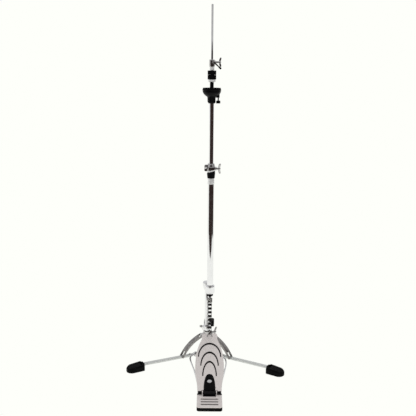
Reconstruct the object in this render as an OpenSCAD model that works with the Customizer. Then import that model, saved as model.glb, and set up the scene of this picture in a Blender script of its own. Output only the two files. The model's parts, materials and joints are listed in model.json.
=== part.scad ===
// Hi-hat stand: flat tripod base, offset frame, chain-drive pedal, telescoping
// tube, cymbal seat and clutch. Millimetres, +Z up, pedal towards -Y.
// The origin is on the floor, at the middle of the stand's footprint.

/* [Base] */
// Distance from the base post to the tip of each foot
leg_reach = 275; // [260:1:300]
// Turn of the tripod about the base post, in degrees
leg_turn = 1.9; // [0:0.1:4]
// Rise of the legs towards the feet, in degrees
leg_rise = 2; // [1:0.5:2.5]
// Width of a leg channel
leg_w = 12.4; // [11:0.1:13]
// Height of a leg channel
leg_h = 6; // [5:0.5:7]
// Length of a rubber foot
foot_len = 54; // [45:1:60]
// Width of a rubber foot
foot_w = 36; // [30:1:40]
// Height of a rubber foot
foot_h = 19.5; // [18:0.5:24]

/* [Pedal] */
// Distance from the pull rod to the front of the heel plate
heel_reach = 318; // [310:1:325]
// Width of the heel plate
heel_w = 70; // [68:1:76]
// Half width of the footboard at its widest place
board_half = 42.2; // [41:0.2:46]
// Half width of the footboard at the hinge
board_heel_half = 34.4; // [33.4:0.2:35]
// Half width of the footboard at the toe
board_toe_half = 24; // [22:0.5:25]
// Slope of the footboard at rest, in degrees
board_slope = 15.6; // [15:0.1:16]
// Length of the footboard from the hinge to the toe
board_len = 252; // [250:0.5:253]

/* [Tubes] */
// Outer diameter of the lower tube
lower_d = 19.05; // [18.6:0.05:19.6]
// Outer diameter of the upper tube
upper_d = 14.3; // [13.8:0.1:14.6]
// Outer diameter of the base post
post_d = 14.3; // [13.8:0.1:14.6]
// Diameter of the pull rod
rod_d = 6; // [5.8:0.1:6.2]
// Height of the top of the pull rod
rod_top = 1081; // [1040:1:1110]
// Height of the face that the bottom cymbal rests on
seat_z = 849; // [849:1:860]

/* [Chain] */
// Distance between chain pins
chain_pitch = 12.7; // [12.7:0.1:12.8]
// Number of links in the chain
chain_links = 8; // [8:2:8]
// Distance between the inner plates
chain_gap = 6.2; // [6:0.1:6.4]

/* [Hidden] */
$fn = 64;
eps = 0.01;
fit = 0.05;

// Post and pull rod, placed so that the footprint is centred on the origin
post_back = 33;
pull_side = 9;
post_x = leg_reach * cos(60) * sin(leg_turn);
pull_x = post_x + pull_side;
pull_y = (heel_reach - post_back - leg_reach * cos(leg_turn)) / 2;
post_y = pull_y + post_back;

// Directions of the legs from the post: left, right, rear
leg_dir = [210 - leg_turn, 330 - leg_turn, 90 - leg_turn];
leg_hinge_r = 57.5;
rod_hook_r = 42;
leg_hinge_z = 9;
leg_wall = 1.8;
leg_pin_d = 4.5;
leg_plate_start = 10;
leg_end = leg_reach - leg_hinge_r - 14;
dome_r = 105;
tongue_w = leg_w - 2 * leg_wall - 0.8;

// Collar on the post, its lugs and the braces
ear_r = 18.4;
ear_z = 69.4;
ear_half = leg_w / 2 + 0.3;
brace_foot_r = 88;
brace_foot_z = 11.4;
brace_bow = 9;
brace_w = 7;
brace_t = 2;
brace_inner = ear_half + 0.3;
collar_z0 = 58;
collar_z1 = 84;
collar_r = 12;
wing_bolt_dir = 18;
wing_bolt_z = 74;
ring_z0 = 84.4;
ring_z1 = 101;

// Frame head and tubes
head_z0 = 221;
head_z1 = 246.5;
tube_floor = 229;
screw_z = 233;
lower_top = 595;
lower_bore = 16.6;
receiver_z0 = 584;
receiver_r = 12.2;
receiver_edge_z = 602.4;
receiver_seat_z = 590;
bush_z0 = 560;
bush_r = 8.6;
slant = 13;
lock_z = 603.6;
lock_band_z = 617.5;
lock_top = 628;
lock_r = 13;
lock_bolt_z = 612.5;
lock_key_x = -16;
lock_key_z = 616;
upper_z0 = 520;
upper_bore = 12.3;

// Pull rod, spring and chain
rod_bottom = 201;
bumper_z = 213;
spring_z0 = 229.2;
spring_z1 = 372;
spring_r = 5.6;
spring_wire = 1.7;
pin_top_z = 195.2;
pin_toe_z = pin_top_z - chain_links * chain_pitch;
roller_d = 7.8;
pin_d = 3.6;
plate_t = 1.3;
plate_h = 9.6;

// Pedal
hinge_y = pull_y - board_len * cos(board_slope) - 4;
hinge_z = 17.6;
hinge_r = 4.6;
hinge_pin_d = 5;
board_t = 3;
rim_w = 2.4;
rim_h = 7;
board_top = 3.6;
belly_s = 98;
toe_s = 224;
side_power = 2.63;
toe_round = 7;
grip_t = 0.8;
arch_leg = 2.4;
heel_y0 = pull_y - heel_reach;
heel_y1 = hinge_y - 5.2;
pad_h = 10.4;
plate_h0 = 3.2;
slot_w = 54;
block_w = 36;
insert_half = 16.7;
insert_s = 5.4;
insert_len = 64;
badge_s = 38.8;

// Seat and clutch
seat_body_z0 = 804.5;
bowl_z = 822;
cup_r = 27.5;
tilt_z = seat_z - 8;
sleeve_z0 = 834;
sleeve_r = 5.65;
sleeve_top = seat_z + 16;
tilt_hinge_x = -23;
tilt_screw_x = 19;
tilt_screw_r = 2.1;
knob_h = 8.5;
nut_z = 865.4;
felt_z = 873;
felt_r = 12.5;
felt_t = 12.3;
neck_z = 898.2;
body_z = 908.2;
body_top = 928.8;
body_r = 8.3;
wing_z = 921.5;
lever_dir = 42;

module at_post() translate([post_x, post_y, 0]) children();
module at_pull() translate([pull_x, pull_y, 0]) children();
module at_leg(i) at_post() rotate([0, 0, leg_dir[i]]) children();

// Ring between two radii
module ring(r_out, r_in, z0, z1) {
    translate([0, 0, z0])
        difference() {
            cylinder(r = r_out, h = z1 - z0);
            translate([0, 0, -1])
                cylinder(r = r_in, h = z1 - z0 + 2);
        }
}

// Cylinder centred on the local X or Y axis
module rod_x(r, x0, x1) translate([x0, 0, 0]) rotate([0, 90, 0]) cylinder(r = r, h = x1 - x0);
module rod_y(r, y0, y1) translate([0, y1, 0]) rotate([90, 0, 0]) cylinder(r = r, h = y1 - y0);

// Wing head along the local X axis, with two wings up and down
module wing_head(r_hub, len, span, thick) {
    rod_x(r_hub, 0, len);
    for (s = [-1, 1])
        translate([len * 0.5, -thick / 2, 0])
            rotate([-90, 0, 0])
                linear_extrude(thick)
                    intersection() {
                        polygon([
                            [-len * 0.32, 0], [len * 0.42, 0],
                            [len * 0.62, -s * span * 0.86], [len * 0.3, -s * span],
                            [-len * 0.22, -s * span * 0.8],
                        ]);
                        circle(r = span);
                    }
}

// ---- Base ----

module base_hub() color("silver") at_post() {
    difference() {
        union() {
            translate([0, 0, 3]) cylinder(r = 15, h = 9);
            translate([0, 0, 12 - eps]) cylinder(r1 = 15, r2 = 11.5, h = 20);
            for (d = leg_dir)
                rotate([0, 0, d]) hub_arm();
        }
        translate([0, 0, 5]) cylinder(r = post_d / 2, h = 60);
        for (d = leg_dir)
            rotate([0, 0, d])
                translate([leg_hinge_r, 0, leg_hinge_z])
                    rod_y(leg_pin_d / 2, -20, 20);
        for (d = [leg_dir[0], leg_dir[1]])
            rotate([0, 0, d])
                translate([rod_hook_r, 0, 0])
                    cylinder(r = 2.6, h = 30);
    }
}

// Arm of the hub: a wide root and a narrow tongue that enters the leg channel
module hub_arm() {
    translate([8, -8, 3]) cube([38, 16, 9.5]);
    translate([40, -tongue_w / 2, leg_hinge_z - 3.4])
        cube([leg_hinge_r - 40, tongue_w, 6.8]);
    translate([leg_hinge_r, 0, leg_hinge_z])
        rod_y(3.4, -tongue_w / 2, tongue_w / 2);
}

module base_post() color("gainsboro") at_post()
    ring(post_d / 2, post_d / 2 - 1.5, 5, head_z1 - 5);

// Outer block of a leg, from its hinge to its end inside the foot
module leg_block(grow) {
    translate([leg_plate_start - grow, -leg_w / 2 - grow, -leg_h / 2 - grow])
        cube([leg_end - leg_plate_start + 2 * grow, leg_w + 2 * grow, leg_h + 2 * grow]);
}

module at_leg_hinge(i) at_leg(i)
    translate([leg_hinge_r, 0, leg_hinge_z]) rotate([0, -leg_rise, 0]) children();

module leg(i) color("gainsboro") at_leg_hinge(i)
    difference() {
        union() {
            leg_block(0);
            translate([0, -leg_w / 2, -leg_h / 2]) cube([leg_plate_start + 1, leg_w, leg_h]);
            rod_y(leg_h / 2, -leg_w / 2, leg_w / 2);
        }
        translate([leg_plate_start, -leg_w / 2 + leg_wall, -leg_h / 2 - 1])
            cube([leg_end, leg_w - 2 * leg_wall, leg_h + 1 - leg_wall]);
        translate([-leg_h, -leg_w / 2 + leg_wall, -leg_h])
            cube([leg_plate_start + leg_h + 1, leg_w - 2 * leg_wall, 2 * leg_h]);
        rod_y(leg_pin_d / 2 + fit, -20, 20);
    }

module leg_left() leg(0);
module leg_right() leg(1);
module leg_rear() leg(2);

module foot(i) color("#202020") {
    tip_r = foot_w / 2;
    difference() {
        at_leg(i)
            intersection() {
                linear_extrude(foot_h) {
                    translate([leg_reach - foot_len, -tip_r])
                        square([foot_len - tip_r, foot_w]);
                    translate([leg_reach - tip_r, 0]) circle(r = tip_r);
                }
                translate([leg_reach - 34, 0, foot_h - dome_r])
                    rod_y(dome_r, -40, 40);
            }
        at_leg_hinge(i) leg_block(fit);
    }
}

module foot_left() foot(0);
module foot_right() foot(1);
module foot_rear() foot(2);

module leg_hinge_pins() color("#5a2a20")
    for (i = [0:2])
        at_leg(i) translate([leg_hinge_r, 0, leg_hinge_z]) {
            rod_y(leg_pin_d / 2, -leg_w / 2 - 0.6, leg_w / 2 + 0.6);
            for (s = [-1, 1])
                translate([0, s * (leg_w / 2 + 0.9), 0]) rod_y(3.6, -0.6, 0.6);
        }

// Bowed strap in the plane of a leg, as an arc of constant width
module brace_outline() {
    chord = [brace_foot_r - ear_r, brace_foot_z - ear_z];
    len = norm(chord);
    tilt = atan2(chord[1], chord[0]);
    bow_r = (len * len / 4 + brace_bow * brace_bow) / (2 * brace_bow);
    half = asin(len / 2 / bow_r);
    steps = 16;
    outer = [for (k = [0:steps])
        let (a = 90 + half - 2 * half * k / steps)
        [len / 2 + (bow_r + brace_w / 2) * cos(a), brace_bow - bow_r + (bow_r + brace_w / 2) * sin(a)]];
    inner = [for (k = [0:steps])
        let (a = 90 - half + 2 * half * k / steps)
        [len / 2 + (bow_r - brace_w / 2) * cos(a), brace_bow - bow_r + (bow_r - brace_w / 2) * sin(a)]];
    translate([ear_r, ear_z]) rotate(tilt) difference() {
        union() {
            polygon(concat(outer, inner));
            for (x = [0, len]) translate([x, 0]) circle(r = brace_w / 2 + 0.6);
        }
        circle(r = leg_pin_d / 2 + fit);
    }
}

module brace(i) color("silver") at_leg(i)
    for (s = [-1, 1]) {
        translate([0, s * (brace_inner + brace_t / 2) + brace_t / 2, 0])
            rotate([90, 0, 0]) linear_extrude(brace_t) brace_outline();
        translate([brace_foot_r, s * (brace_inner + brace_t + 0.9), brace_foot_z])
            rod_y(3.1, -0.9, 0.9);
    }

module brace_left() brace(0);
module brace_right() brace(1);
module brace_rear() brace(2);

module brace_collar() color("silver") at_post()
    difference() {
        union() {
            translate([0, 0, collar_z0]) cylinder(r = collar_r, h = collar_z1 - collar_z0);
            for (d = leg_dir)
                rotate([0, 0, d]) {
                    translate([8, -ear_half, ear_z - 4.4]) cube([ear_r - 8, 2 * ear_half, 8.8]);
                    translate([ear_r, 0, ear_z]) rod_y(4.4, -ear_half, ear_half);
                }
            rotate([0, 0, wing_bolt_dir])
                translate([0, 0, wing_bolt_z]) rod_x(6, 8, 17);
        }
        translate([0, 0, collar_z0 - 1])
            cylinder(r = post_d / 2 + fit, h = collar_z1 - collar_z0 + 2);
        for (d = leg_dir)
            rotate([0, 0, d]) translate([ear_r, 0, ear_z]) rod_y(leg_pin_d / 2, -20, 20);
        rotate([0, 0, wing_bolt_dir])
            translate([0, 0, wing_bolt_z]) rod_x(3.05, 0, 30);
    }

module brace_pins() color("silver")
    for (i = [0:2])
        at_leg(i) translate([ear_r, 0, ear_z]) {
            reach = brace_inner + brace_t;
            rod_y(leg_pin_d / 2, -reach - 0.2, reach + 0.2);
            for (s = [-1, 1])
                translate([0, s * (reach + 0.9), 0]) rod_y(3.4, -0.7, 0.7);
        }

module collar_wing_bolt() color("silver") at_post()
    rotate([0, 0, wing_bolt_dir]) translate([0, 0, wing_bolt_z]) {
        rod_x(3, post_d / 2 + 0.3, 25);
        translate([24, 0, 0]) rotate([14, 0, 0]) wing_head(4.6, 8, 19, 2.6);
    }

module stop_ring() color("silver") at_post()
    difference() {
        union() {
            translate([0, 0, ring_z0]) cylinder(r = 12, h = ring_z1 - ring_z0);
            translate([-16, -5, ring_z0 + 3]) cube([10, 10, 10.6]);
        }
        translate([0, 0, ring_z0 - 1])
            cylinder(r = post_d / 2 + fit, h = ring_z1 - ring_z0 + 2);
        translate([-15.9, 0, 96]) rod_x(2.55, -5, 12);
    }

module stop_ring_bolt() color("gray") at_post()
    translate([0, 0, 96]) {
        rod_x(2.5, -20, -post_d / 2 - 0.3);
        translate([-23, 0, 0]) rotate([45, 0, 0]) translate([0, -2.5, -2.5]) cube([6, 5, 5]);
        rod_x(4.4, -18.6, -16.2);
    }

// ---- Frame and tubes ----

module frame_head() color("silver")
    difference() {
        union() {
            at_pull() translate([0, 0, head_z0]) cylinder(r = 14.6, h = head_z1 - head_z0);
            at_post() {
                translate([0, 0, head_z0]) cylinder(r1 = 10.2, r2 = 13.2, h = 12);
                translate([0, 0, head_z0 + 12 - eps])
                    cylinder(r1 = 13.2, r2 = 14, h = head_z1 - head_z0 - 12);
            }
            head_web();
        }
        at_pull() {
            translate([0, 0, tube_floor]) cylinder(r = lower_d / 2, h = 40);
            translate([0, 0, head_z0 - 1]) cylinder(r = 6.5, h = 30);
            translate([0, 0, screw_z]) rod_y(2.5, -20, 0);
        }
        at_post() translate([0, 0, head_z0 - 1])
            cylinder(r = post_d / 2, h = head_z1 - head_z0 - 4);
    }

// Web between the two sockets of the frame head
module head_web() {
    span = norm([pull_side, post_back]);
    at_post()
        rotate([0, 0, atan2(-post_back, pull_side)])
            translate([6, -8, head_z0 + 4]) cube([span - 12, 16, head_z1 - head_z0 - 8]);
}

module head_bushing() color("#202020") at_pull()
    ring(6.5, rod_d / 2 + fit, head_z0, tube_floor);

module frame_set_screw() color("#202020") at_pull()
    translate([0, 0, screw_z]) rod_y(2.5, -14.2, -lower_d / 2 - 0.2);

module lower_tube() color("#8a7c78") at_pull()
    ring(lower_d / 2, lower_bore / 2, tube_floor, lower_top);

// Everything under a plane that rises to the right
module under_slant(z, size = 60)
    translate([0, 0, z]) rotate([0, -slant, 0])
        translate([-size, -size, -size]) cube([2 * size, 2 * size, size]);

module over_slant(z, size = 60)
    translate([0, 0, z]) rotate([0, -slant, 0])
        translate([-size, -size, 0]) cube([2 * size, 2 * size, size]);

module receiver() color("#202022") at_pull()
    difference() {
        intersection() {
            union() {
                translate([0, 0, receiver_z0]) cylinder(r1 = 10.9, r2 = receiver_r, h = 12);
                translate([0, 0, receiver_z0 + 12 - eps]) cylinder(r = receiver_r, h = 20);
            }
            under_slant(receiver_edge_z);
        }
        translate([0, 0, receiver_z0 - 1]) cylinder(r = lower_d / 2, h = lower_top - receiver_z0 + 1);
        translate([0, 0, receiver_seat_z]) cylinder(r = bush_r, h = 40);
    }

module receiver_bush() color("#e8e6dc") at_pull() {
    ring(lower_bore / 2, upper_d / 2 + fit, bush_z0, lower_top);
    ring(bush_r, upper_d / 2 + fit, lower_top, lower_top + 4.6);
}

module lock_collar() color("silver") at_pull()
    difference() {
        union() {
            intersection() {
                translate([0, 0, receiver_seat_z]) cylinder(r = lock_r, h = lock_band_z - receiver_seat_z);
                over_slant(lock_z);
            }
            translate([0, 0, lock_band_z - eps])
                cylinder(r1 = lock_r, r2 = 9.6, h = lock_top - lock_band_z);
            translate([-20, -5, lock_bolt_z - 7.5]) cube([10, 10, 20]);
            translate([0, 0, lock_bolt_z]) rod_x(5.6, 8, 16.5);
        }
        translate([0, 0, receiver_seat_z - 1]) cylinder(r = upper_d / 2 + fit, h = 60);
        translate([-30, -0.8, receiver_seat_z]) cube([30, 1.6, 60]);
        translate([lock_key_x, 0, lock_key_z]) rod_y(2.05, -10, 10);
        translate([0, 0, lock_bolt_z]) rod_x(3.05, 0, 30);
    }

module lock_shoe() color("#b08d57") at_pull() translate([0, 0, lock_bolt_z])
    difference() {
        rod_x(3, upper_d / 2 - 1, upper_d / 2 + 2);
        translate([0, 0, -10]) cylinder(r = upper_d / 2 + fit, h = 20);
    }

module lock_wing_bolt() color("silver") at_pull() translate([0, 0, lock_bolt_z]) {
    rod_x(3, upper_d / 2 + 2.3, 20);
    translate([20, 0, 0]) rotate([12, 0, 0]) wing_head(4.6, 8, 17.5, 2.6);
}

module lock_key_bolt() color("silver") at_pull() translate([lock_key_x, 0, lock_key_z]) {
    rod_y(2, -7, 6.2);
    rod_y(3.4, -7.6, -5.1);
    translate([-2.3, -11.6, -2.3]) cube([4.6, 4.2, 4.6]);
}

// ---- Pedal ----

module heel_outline(half, y0, y1, r) {
    translate([pull_x - half, y0]) translate([r, r])
        square([2 * half - 2 * r, y1 - y0 - 2 * r]);
    for (x = [-half + r, half - r], y = [y0 + r, y1 - r])
        translate([pull_x + x, y]) circle(r = r);
    translate([pull_x - half, y0 + r]) square([2 * half, y1 - y0 - 2 * r]);
    translate([pull_x - half + r, y0]) square([2 * half - 2 * r, y1 - y0]);
}

module heel_pad() color("#1c1c1c")
    linear_extrude(pad_h) heel_outline(heel_w / 2, heel_y0, heel_y1 + 3, 4);

module heel_plate() color("#cfcccb")
    difference() {
        union() {
            translate([0, 0, pad_h])
                linear_extrude(plate_h0) heel_outline(heel_w / 2, heel_y0, heel_y1 + 3, 4);
            for (s = [-1, 1])
                translate([pull_x + s * 19.7, hinge_y, hinge_z]) {
                    rod_x(hinge_r, -1.4, 1.4);
                    translate([-1.4, -9, -hinge_z + pad_h + 1]) cube([2.8, 9, hinge_z - pad_h]);
                }
        }
        for (k = [0:2])
            translate([pull_x - slot_w / 2, heel_y0 + 13 + 14 * k, pad_h - 1])
                cube([slot_w, 3.6, plate_h0 + 2]);
        for (s = [-1, 1])
            translate([pull_x + s * 33 - 11.6, hinge_y - 5.5, pad_h - 1])
                cube([23.2, 30, 20]);
        translate([pull_x, hinge_y, hinge_z]) rod_x(hinge_pin_d / 2, -40, 40);
    }

module heel_block() color("#1c1c1c")
    difference() {
        union() {
            translate([pull_x - block_w / 2, hinge_y - 16, pad_h + plate_h0])
                cube([block_w, 16, 7.6]);
            translate([pull_x, hinge_y, hinge_z]) rod_x(hinge_r, -block_w / 2, block_w / 2);
        }
        translate([pull_x, hinge_y, hinge_z]) rod_x(hinge_pin_d / 2, -40, 40);
    }

module hinge_pin() color("gray")
    translate([pull_x, hinge_y, hinge_z]) rod_x(hinge_pin_d / 2, -32.6, 32.6);

// One radius rod: straight lengths with ball corners, hooked down into the hub
module radius_rod(side) {
    hook = side < 0 ? leg_dir[0] : leg_dir[1];
    shoulder = side < 0 ? [[-57.5, -43, 9], [-60, -18, 13], [-50, -4, 16]]
        : [[52, -50, 10], [46, -22, 13], [28, -8, 16]];
    hub = [post_x + rod_hook_r * cos(hook), post_y + rod_hook_r * sin(hook)];
    path = concat(
        [for (p = [[28, -284, 6], [31, -250, 6], [33, -200, 6], [37, -160, 7], [46, -100, 8]])
            [pull_x + side * p[0], pull_y + p[1], p[2]]],
        [for (p = shoulder) [pull_x + p[0], pull_y + p[1], p[2]]],
        [[hub[0], hub[1], 16], [hub[0], hub[1], 6]]);
    for (k = [0:len(path) - 2]) {
        run = path[k + 1] - path[k];
        translate(path[k])
            rotate([0, acos(run[2] / norm(run)), atan2(run[1], run[0])])
                cylinder(r = 2.5, h = norm(run), $fn = 32);
        translate(path[k]) sphere(r = 2.7, $fn = 32);
    }
}

module radius_rods() color("silver") {
    radius_rod(-1);
    radius_rod(1);
}

// Half width of the footboard at distance s from the hinge
function board_edge(s) =
    s < 8 ? board_heel_half
    : s < belly_s ? board_heel_half
        + (board_half - board_heel_half) * (1 - cos(180 * (s - 8) / (belly_s - 8))) / 2
    : board_half
        - (board_half - board_toe_half) * pow(min(1, (s - belly_s) / (toe_s - belly_s)), side_power)
        - toe_round * (1 - sqrt(1 - pow(max(0, (s - board_len) / toe_round + 1), 2)));

board_s = concat([5], [for (s = [10:5:toe_s]) s], [toe_s + 2],
    [for (a = [0:18:90]) board_len - toe_round * (1 - sin(a))]);

module board_outline(inset) {
    right = [for (s = board_s) [board_edge(s) - inset, min(max(s, 5 + inset), board_len - inset)]];
    left = [for (k = [len(right) - 1:-1:0]) [-right[k][0], right[k][1]]];
    polygon(concat(right, left));
}

// The footboard's own frame: X across, Y along the board, Z up from its top face
module at_board()
    translate([pull_x, hinge_y, hinge_z]) rotate([board_slope, 0, 0]) children();

module footboard() color("#c9c4c1")
    difference() {
        union() {
            at_board() translate([0, 0, board_top - board_t]) linear_extrude(board_t) board_outline(0);
            at_board() translate([0, 0, board_top - rim_h])
                difference() {
                    linear_extrude(rim_h) board_outline(0);
                    translate([0, 0, -1]) linear_extrude(rim_h + 2) board_outline(rim_w);
                }
            for (s = [-1, 1])
                at_board() translate([s * 27, 0, 0]) {
                    rod_x(hinge_r, -5.2, 5.2);
                    translate([-5.2, 0, -2]) cube([10.4, 9, board_top + 2]);
                }
        }
        translate([pull_x, hinge_y, hinge_z]) rod_x(hinge_pin_d / 2 + fit, -40, 40);
        at_board() translate([-22, -10, -10]) cube([44, 15.4, 9]);
        at_board() for (x = [-7, 7]) translate([x, board_len - 14, -10]) cylinder(r = 2, h = 20);
        at_board() translate([-7.5, board_len - 6, -12]) cube([15, 20, 30]);
    }

// Arch strip on the footboard: wide at its apex and thin at its ends
module arch(s_end, s_apex, half_w, stroke) {
    rise = s_apex - s_end;
    steps = 32;
    outer = [for (k = [0:steps]) let (a = 180 * k / steps)
        [half_w * cos(a), s_end + rise * sin(a)]];
    inner = [for (k = [steps:-1:0]) let (a = 180 * k / steps)
        [(half_w - arch_leg) * cos(a), s_end + (rise - stroke) * sin(a)]];
    polygon(concat(outer, inner));
}

module footboard_grips() color("#1c1c1c") at_board()
    translate([0, 0, board_top]) linear_extrude(grip_t) {
        arch(143, 206, 35, 5);
        arch(105, 166, 27.3, 5);
        arch(61.5, 125, 21.3, 5);
    }

// Round-nosed tongue, widest at the hinge
module insert_outline() {
    steps = 24;
    side = [for (k = [0:steps]) let (t = sin(90 * k / steps))
        [insert_half * pow(max(0, 1 - pow(t, 2.2)), 0.385), insert_s + insert_len * t]];
    other = [for (k = [steps - 1:-1:0]) [-side[k][0], side[k][1]]];
    polygon(concat(side, other));
}

module footboard_insert() color("#1c1c1c") at_board()
    translate([0, 0, board_top]) linear_extrude(1) insert_outline();

module footboard_badge() color("silver") at_board()
    translate([0, badge_s, board_top + 1]) cylinder(r = 6.5, h = 1);

// A point at distance s along the board and n above its hinge plane, as [y, z]
function board_point(s, n) = [
    hinge_y + s * cos(board_slope) - n * sin(board_slope),
    hinge_z + s * sin(board_slope) + n * cos(board_slope),
];

// Eye that the last chain link is pinned to, riveted under the toe
module toe_bracket() color("#8c8c8e")
    difference() {
        union() {
            translate([pull_x - 2.3, 0, 0])
                rotate([90, 0, 90])
                    linear_extrude(4.6) {
                        translate([pull_y, pin_toe_z]) circle(r = 5.6);
                        polygon([
                            [pull_y - 5, pin_toe_z - 1], [pull_y + 5, pin_toe_z - 1],
                            board_point(253, -6.4), board_point(242, -6.4),
                            board_point(242, 0.5), board_point(246.5, 0.5),
                        ]);
                    }
            at_board() translate([-11, board_len - 22, board_top - board_t - 2.6]) cube([22, 15, 2.6]);
        }
        translate([pull_x, pull_y, pin_toe_z]) rod_x(3.4, -10, 10);
        at_board() for (x = [-7, 7]) translate([x, board_len - 14, -10]) cylinder(r = 2, h = 20);
    }

module toe_rivets() color("gray") at_board()
    for (x = [-7, 7])
        translate([x, board_len - 14, 0]) {
            translate([0, 0, board_top - 7]) cylinder(r = 2, h = 7);
            translate([0, 0, board_top]) cylinder(r = 3.2, h = 1.1);
        }

// ---- Pull rod, spring and chain ----

module pull_rod() color("gainsboro") at_pull() {
    translate([0, 0, rod_bottom]) cylinder(r = rod_d / 2, h = rod_top - rod_bottom - 1);
    translate([0, 0, rod_top - 1 - eps]) cylinder(r1 = rod_d / 2, r2 = rod_d / 2 - 1, h = 1);
}

module spring_collar() color("gray") at_pull()
    ring(7.4, rod_d / 2, spring_z1 + 0.2, spring_z1 + 12);

// Compression spring inside the lower tube, drawn as its enclosing sleeve
module pull_spring() color("dimgray") at_pull()
    ring(spring_r + spring_wire / 2, spring_r - spring_wire / 2, spring_z0, spring_z1);

module rod_bumper() color("#1c1c1c") at_pull() {
    ring(9.6, rod_d / 2, bumper_z, head_z0 - 0.4);
    ring(4.6, rod_d / 2, bumper_z - 3.6, bumper_z);
}

module chain_clevis() color("#8c8c8e") at_pull()
    difference() {
        translate([-7.6, -5, pin_top_z - 5]) cube([15.2, 10, 14.3]);
        translate([-4.5, -6, pin_top_z - 6]) cube([9, 12, 10.8]);
        translate([0, 0, rod_bottom - 0.01]) cylinder(r = rod_d / 2, h = 10);
        translate([0, 0, pin_top_z]) rod_x(pin_d / 2 + fit, -10, 10);
    }

// Side plate of a link: two rounds joined by a waist, in the YZ plane
module link_plate(x, z) translate([x, 0, z]) {
    difference() {
        union() {
            for (k = [0, 1]) translate([0, 0, -k * chain_pitch]) rod_x(plate_h / 2, 0, plate_t);
            translate([0, -plate_h * 0.37, -chain_pitch]) cube([plate_t, plate_h * 0.74, chain_pitch]);
        }
        for (k = [0, 1]) translate([0, 0, -k * chain_pitch]) rod_x(pin_d / 2, -1, plate_t + 1);
    }
}

function link_z(k) = pin_top_z - k * chain_pitch;

module chain_inner_links() color("silver") at_pull()
    for (k = [0:2:chain_links - 1]) {
        for (x = [-chain_gap / 2 - plate_t, chain_gap / 2]) link_plate(x, link_z(k));
        for (z = [link_z(k), link_z(k + 1)])
            translate([0, 0, z])
                difference() {
                    rod_x(roller_d / 2, -chain_gap / 2, chain_gap / 2);
                    rod_x(pin_d / 2, -10, 10);
                }
    }

module chain_outer_links() color("gray") at_pull() {
    reach = chain_gap / 2 + plate_t + 0.1;
    for (k = [1:2:chain_links - 1])
        for (x = [-reach - plate_t, reach]) link_plate(x, link_z(k));
    for (k = [0:chain_links])
        translate([0, 0, link_z(k)])
            rod_x(pin_d / 2, -reach - plate_t - 0.7, reach + plate_t + 0.7);
}

// ---- Upper tube and cymbal seat ----

module upper_tube() color("gainsboro") at_pull()
    ring(upper_d / 2, upper_bore / 2, upper_z0, seat_body_z0 + 16);

module seat_body() color("#1c1c1e") at_pull()
    difference() {
        union() {
            rotate_extrude() polygon([
                [upper_d / 2, seat_body_z0], [9.4, seat_body_z0], [11.3, seat_body_z0 + 3],
                [11.3, bowl_z], [15.2, bowl_z + 2.4], [20.1, bowl_z + 6], [23.6, bowl_z + 9.8],
                [26, bowl_z + 14], [27, tilt_z - 0.6], [sleeve_r - 0.45, tilt_z - 0.6],
                [sleeve_r - 0.45, sleeve_z0], [4.2, sleeve_z0],
                [4.2, seat_body_z0 + 16], [upper_d / 2, seat_body_z0 + 16],
            ]);
            difference() {
                translate([tilt_screw_x, 0, bowl_z - 1.4]) cylinder(r = 3.8, h = 12);
                translate([0, 0, 800]) cylinder(r = 8, h = 60);
            }
            translate([9, -3, bowl_z - 1]) cube([9, 6, 8]);
        }
        translate([tilt_screw_x, 0, 800]) cylinder(r = tilt_screw_r + fit, h = 60);
        translate([tilt_hinge_x - 6, -6.2, tilt_z - 5]) cube([9, 12.4, 12]);
    }

module seat_sleeve() color("#1c1c1c") at_pull() {
    ring(sleeve_r - 0.45, 3.6, sleeve_z0, seat_z + eps);
    ring(sleeve_r, 3.6, seat_z, sleeve_top);
}

module tilt_plate() color("#1c1c1e") at_pull()
    difference() {
        union() {
            translate([0, 0, tilt_z]) cylinder(r = cup_r, h = 4);
            translate([tilt_hinge_x, 0, tilt_z]) rod_y(2.4, -5.8, 5.8);
        }
        translate([0, 0, tilt_z - 1]) cylinder(r = 8.4, h = 10);
    }

module seat_felt() color("#262626") at_pull()
    ring(26.4, 8.4, tilt_z + 4, seat_z);

module tilt_screw() color("#1c1c1c") at_pull() translate([tilt_screw_x, 0, 0]) {
    translate([0, 0, seat_body_z0]) cylinder(r = 6.2, h = knob_h);
    translate([0, 0, seat_body_z0 + knob_h - eps])
        cylinder(r = tilt_screw_r, h = tilt_z - 0.3 - seat_body_z0 - knob_h);
}

// ---- Clutch ----

module clutch_nut() color("silver") at_pull()
    difference() {
        translate([0, 0, nut_z]) cylinder(r = 11, h = felt_z - nut_z);
        translate([0, 0, nut_z - 1]) cylinder(r = 5, h = 20);
    }

module clutch_spindle() color("silver") at_pull()
    ring(5, rod_d / 2 + fit, nut_z, body_z + 4);

module clutch_felts() color("#202020") at_pull()
    for (k = [0, 1])
        ring(felt_r, 5.2, felt_z + k * (felt_t + 0.4), felt_z + k * (felt_t + 0.4) + felt_t);

module clutch_neck_nut() color("silver") at_pull()
    ring(6.8, 5, neck_z, body_z);

module clutch_body() color("silver") at_pull()
    difference() {
        union() {
            translate([0, 0, body_z]) cylinder(r = body_r, h = body_top - body_z);
            translate([0, 0, wing_z]) rod_x(4.4, 0, 11.5);
            translate([1, -14.4, 918.5]) cube([7, 10, 7]);
        }
        translate([0, 0, body_z - 1]) cylinder(r = 5, h = 5);
        translate([0, 0, body_z - 1]) cylinder(r = rod_d / 2 + fit, h = 40);
        translate([0, 0, wing_z]) rod_x(3.05, 0, 20);
        translate([4.5, 0, 922]) rod_y(1.25, -16, -9);
    }

module clutch_wing_screw() color("silver") at_pull() translate([0, 0, wing_z]) {
    rod_x(3, rod_d / 2 + 0.4, 20);
    translate([19.6, 0, 0]) rotate([15, 0, 0]) wing_head(3.8, 6.5, 13.5, 2.2);
}

module at_lever() at_pull() translate([4.5, -16, 922]) rotate([0, lever_dir, 0]) children();

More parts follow.
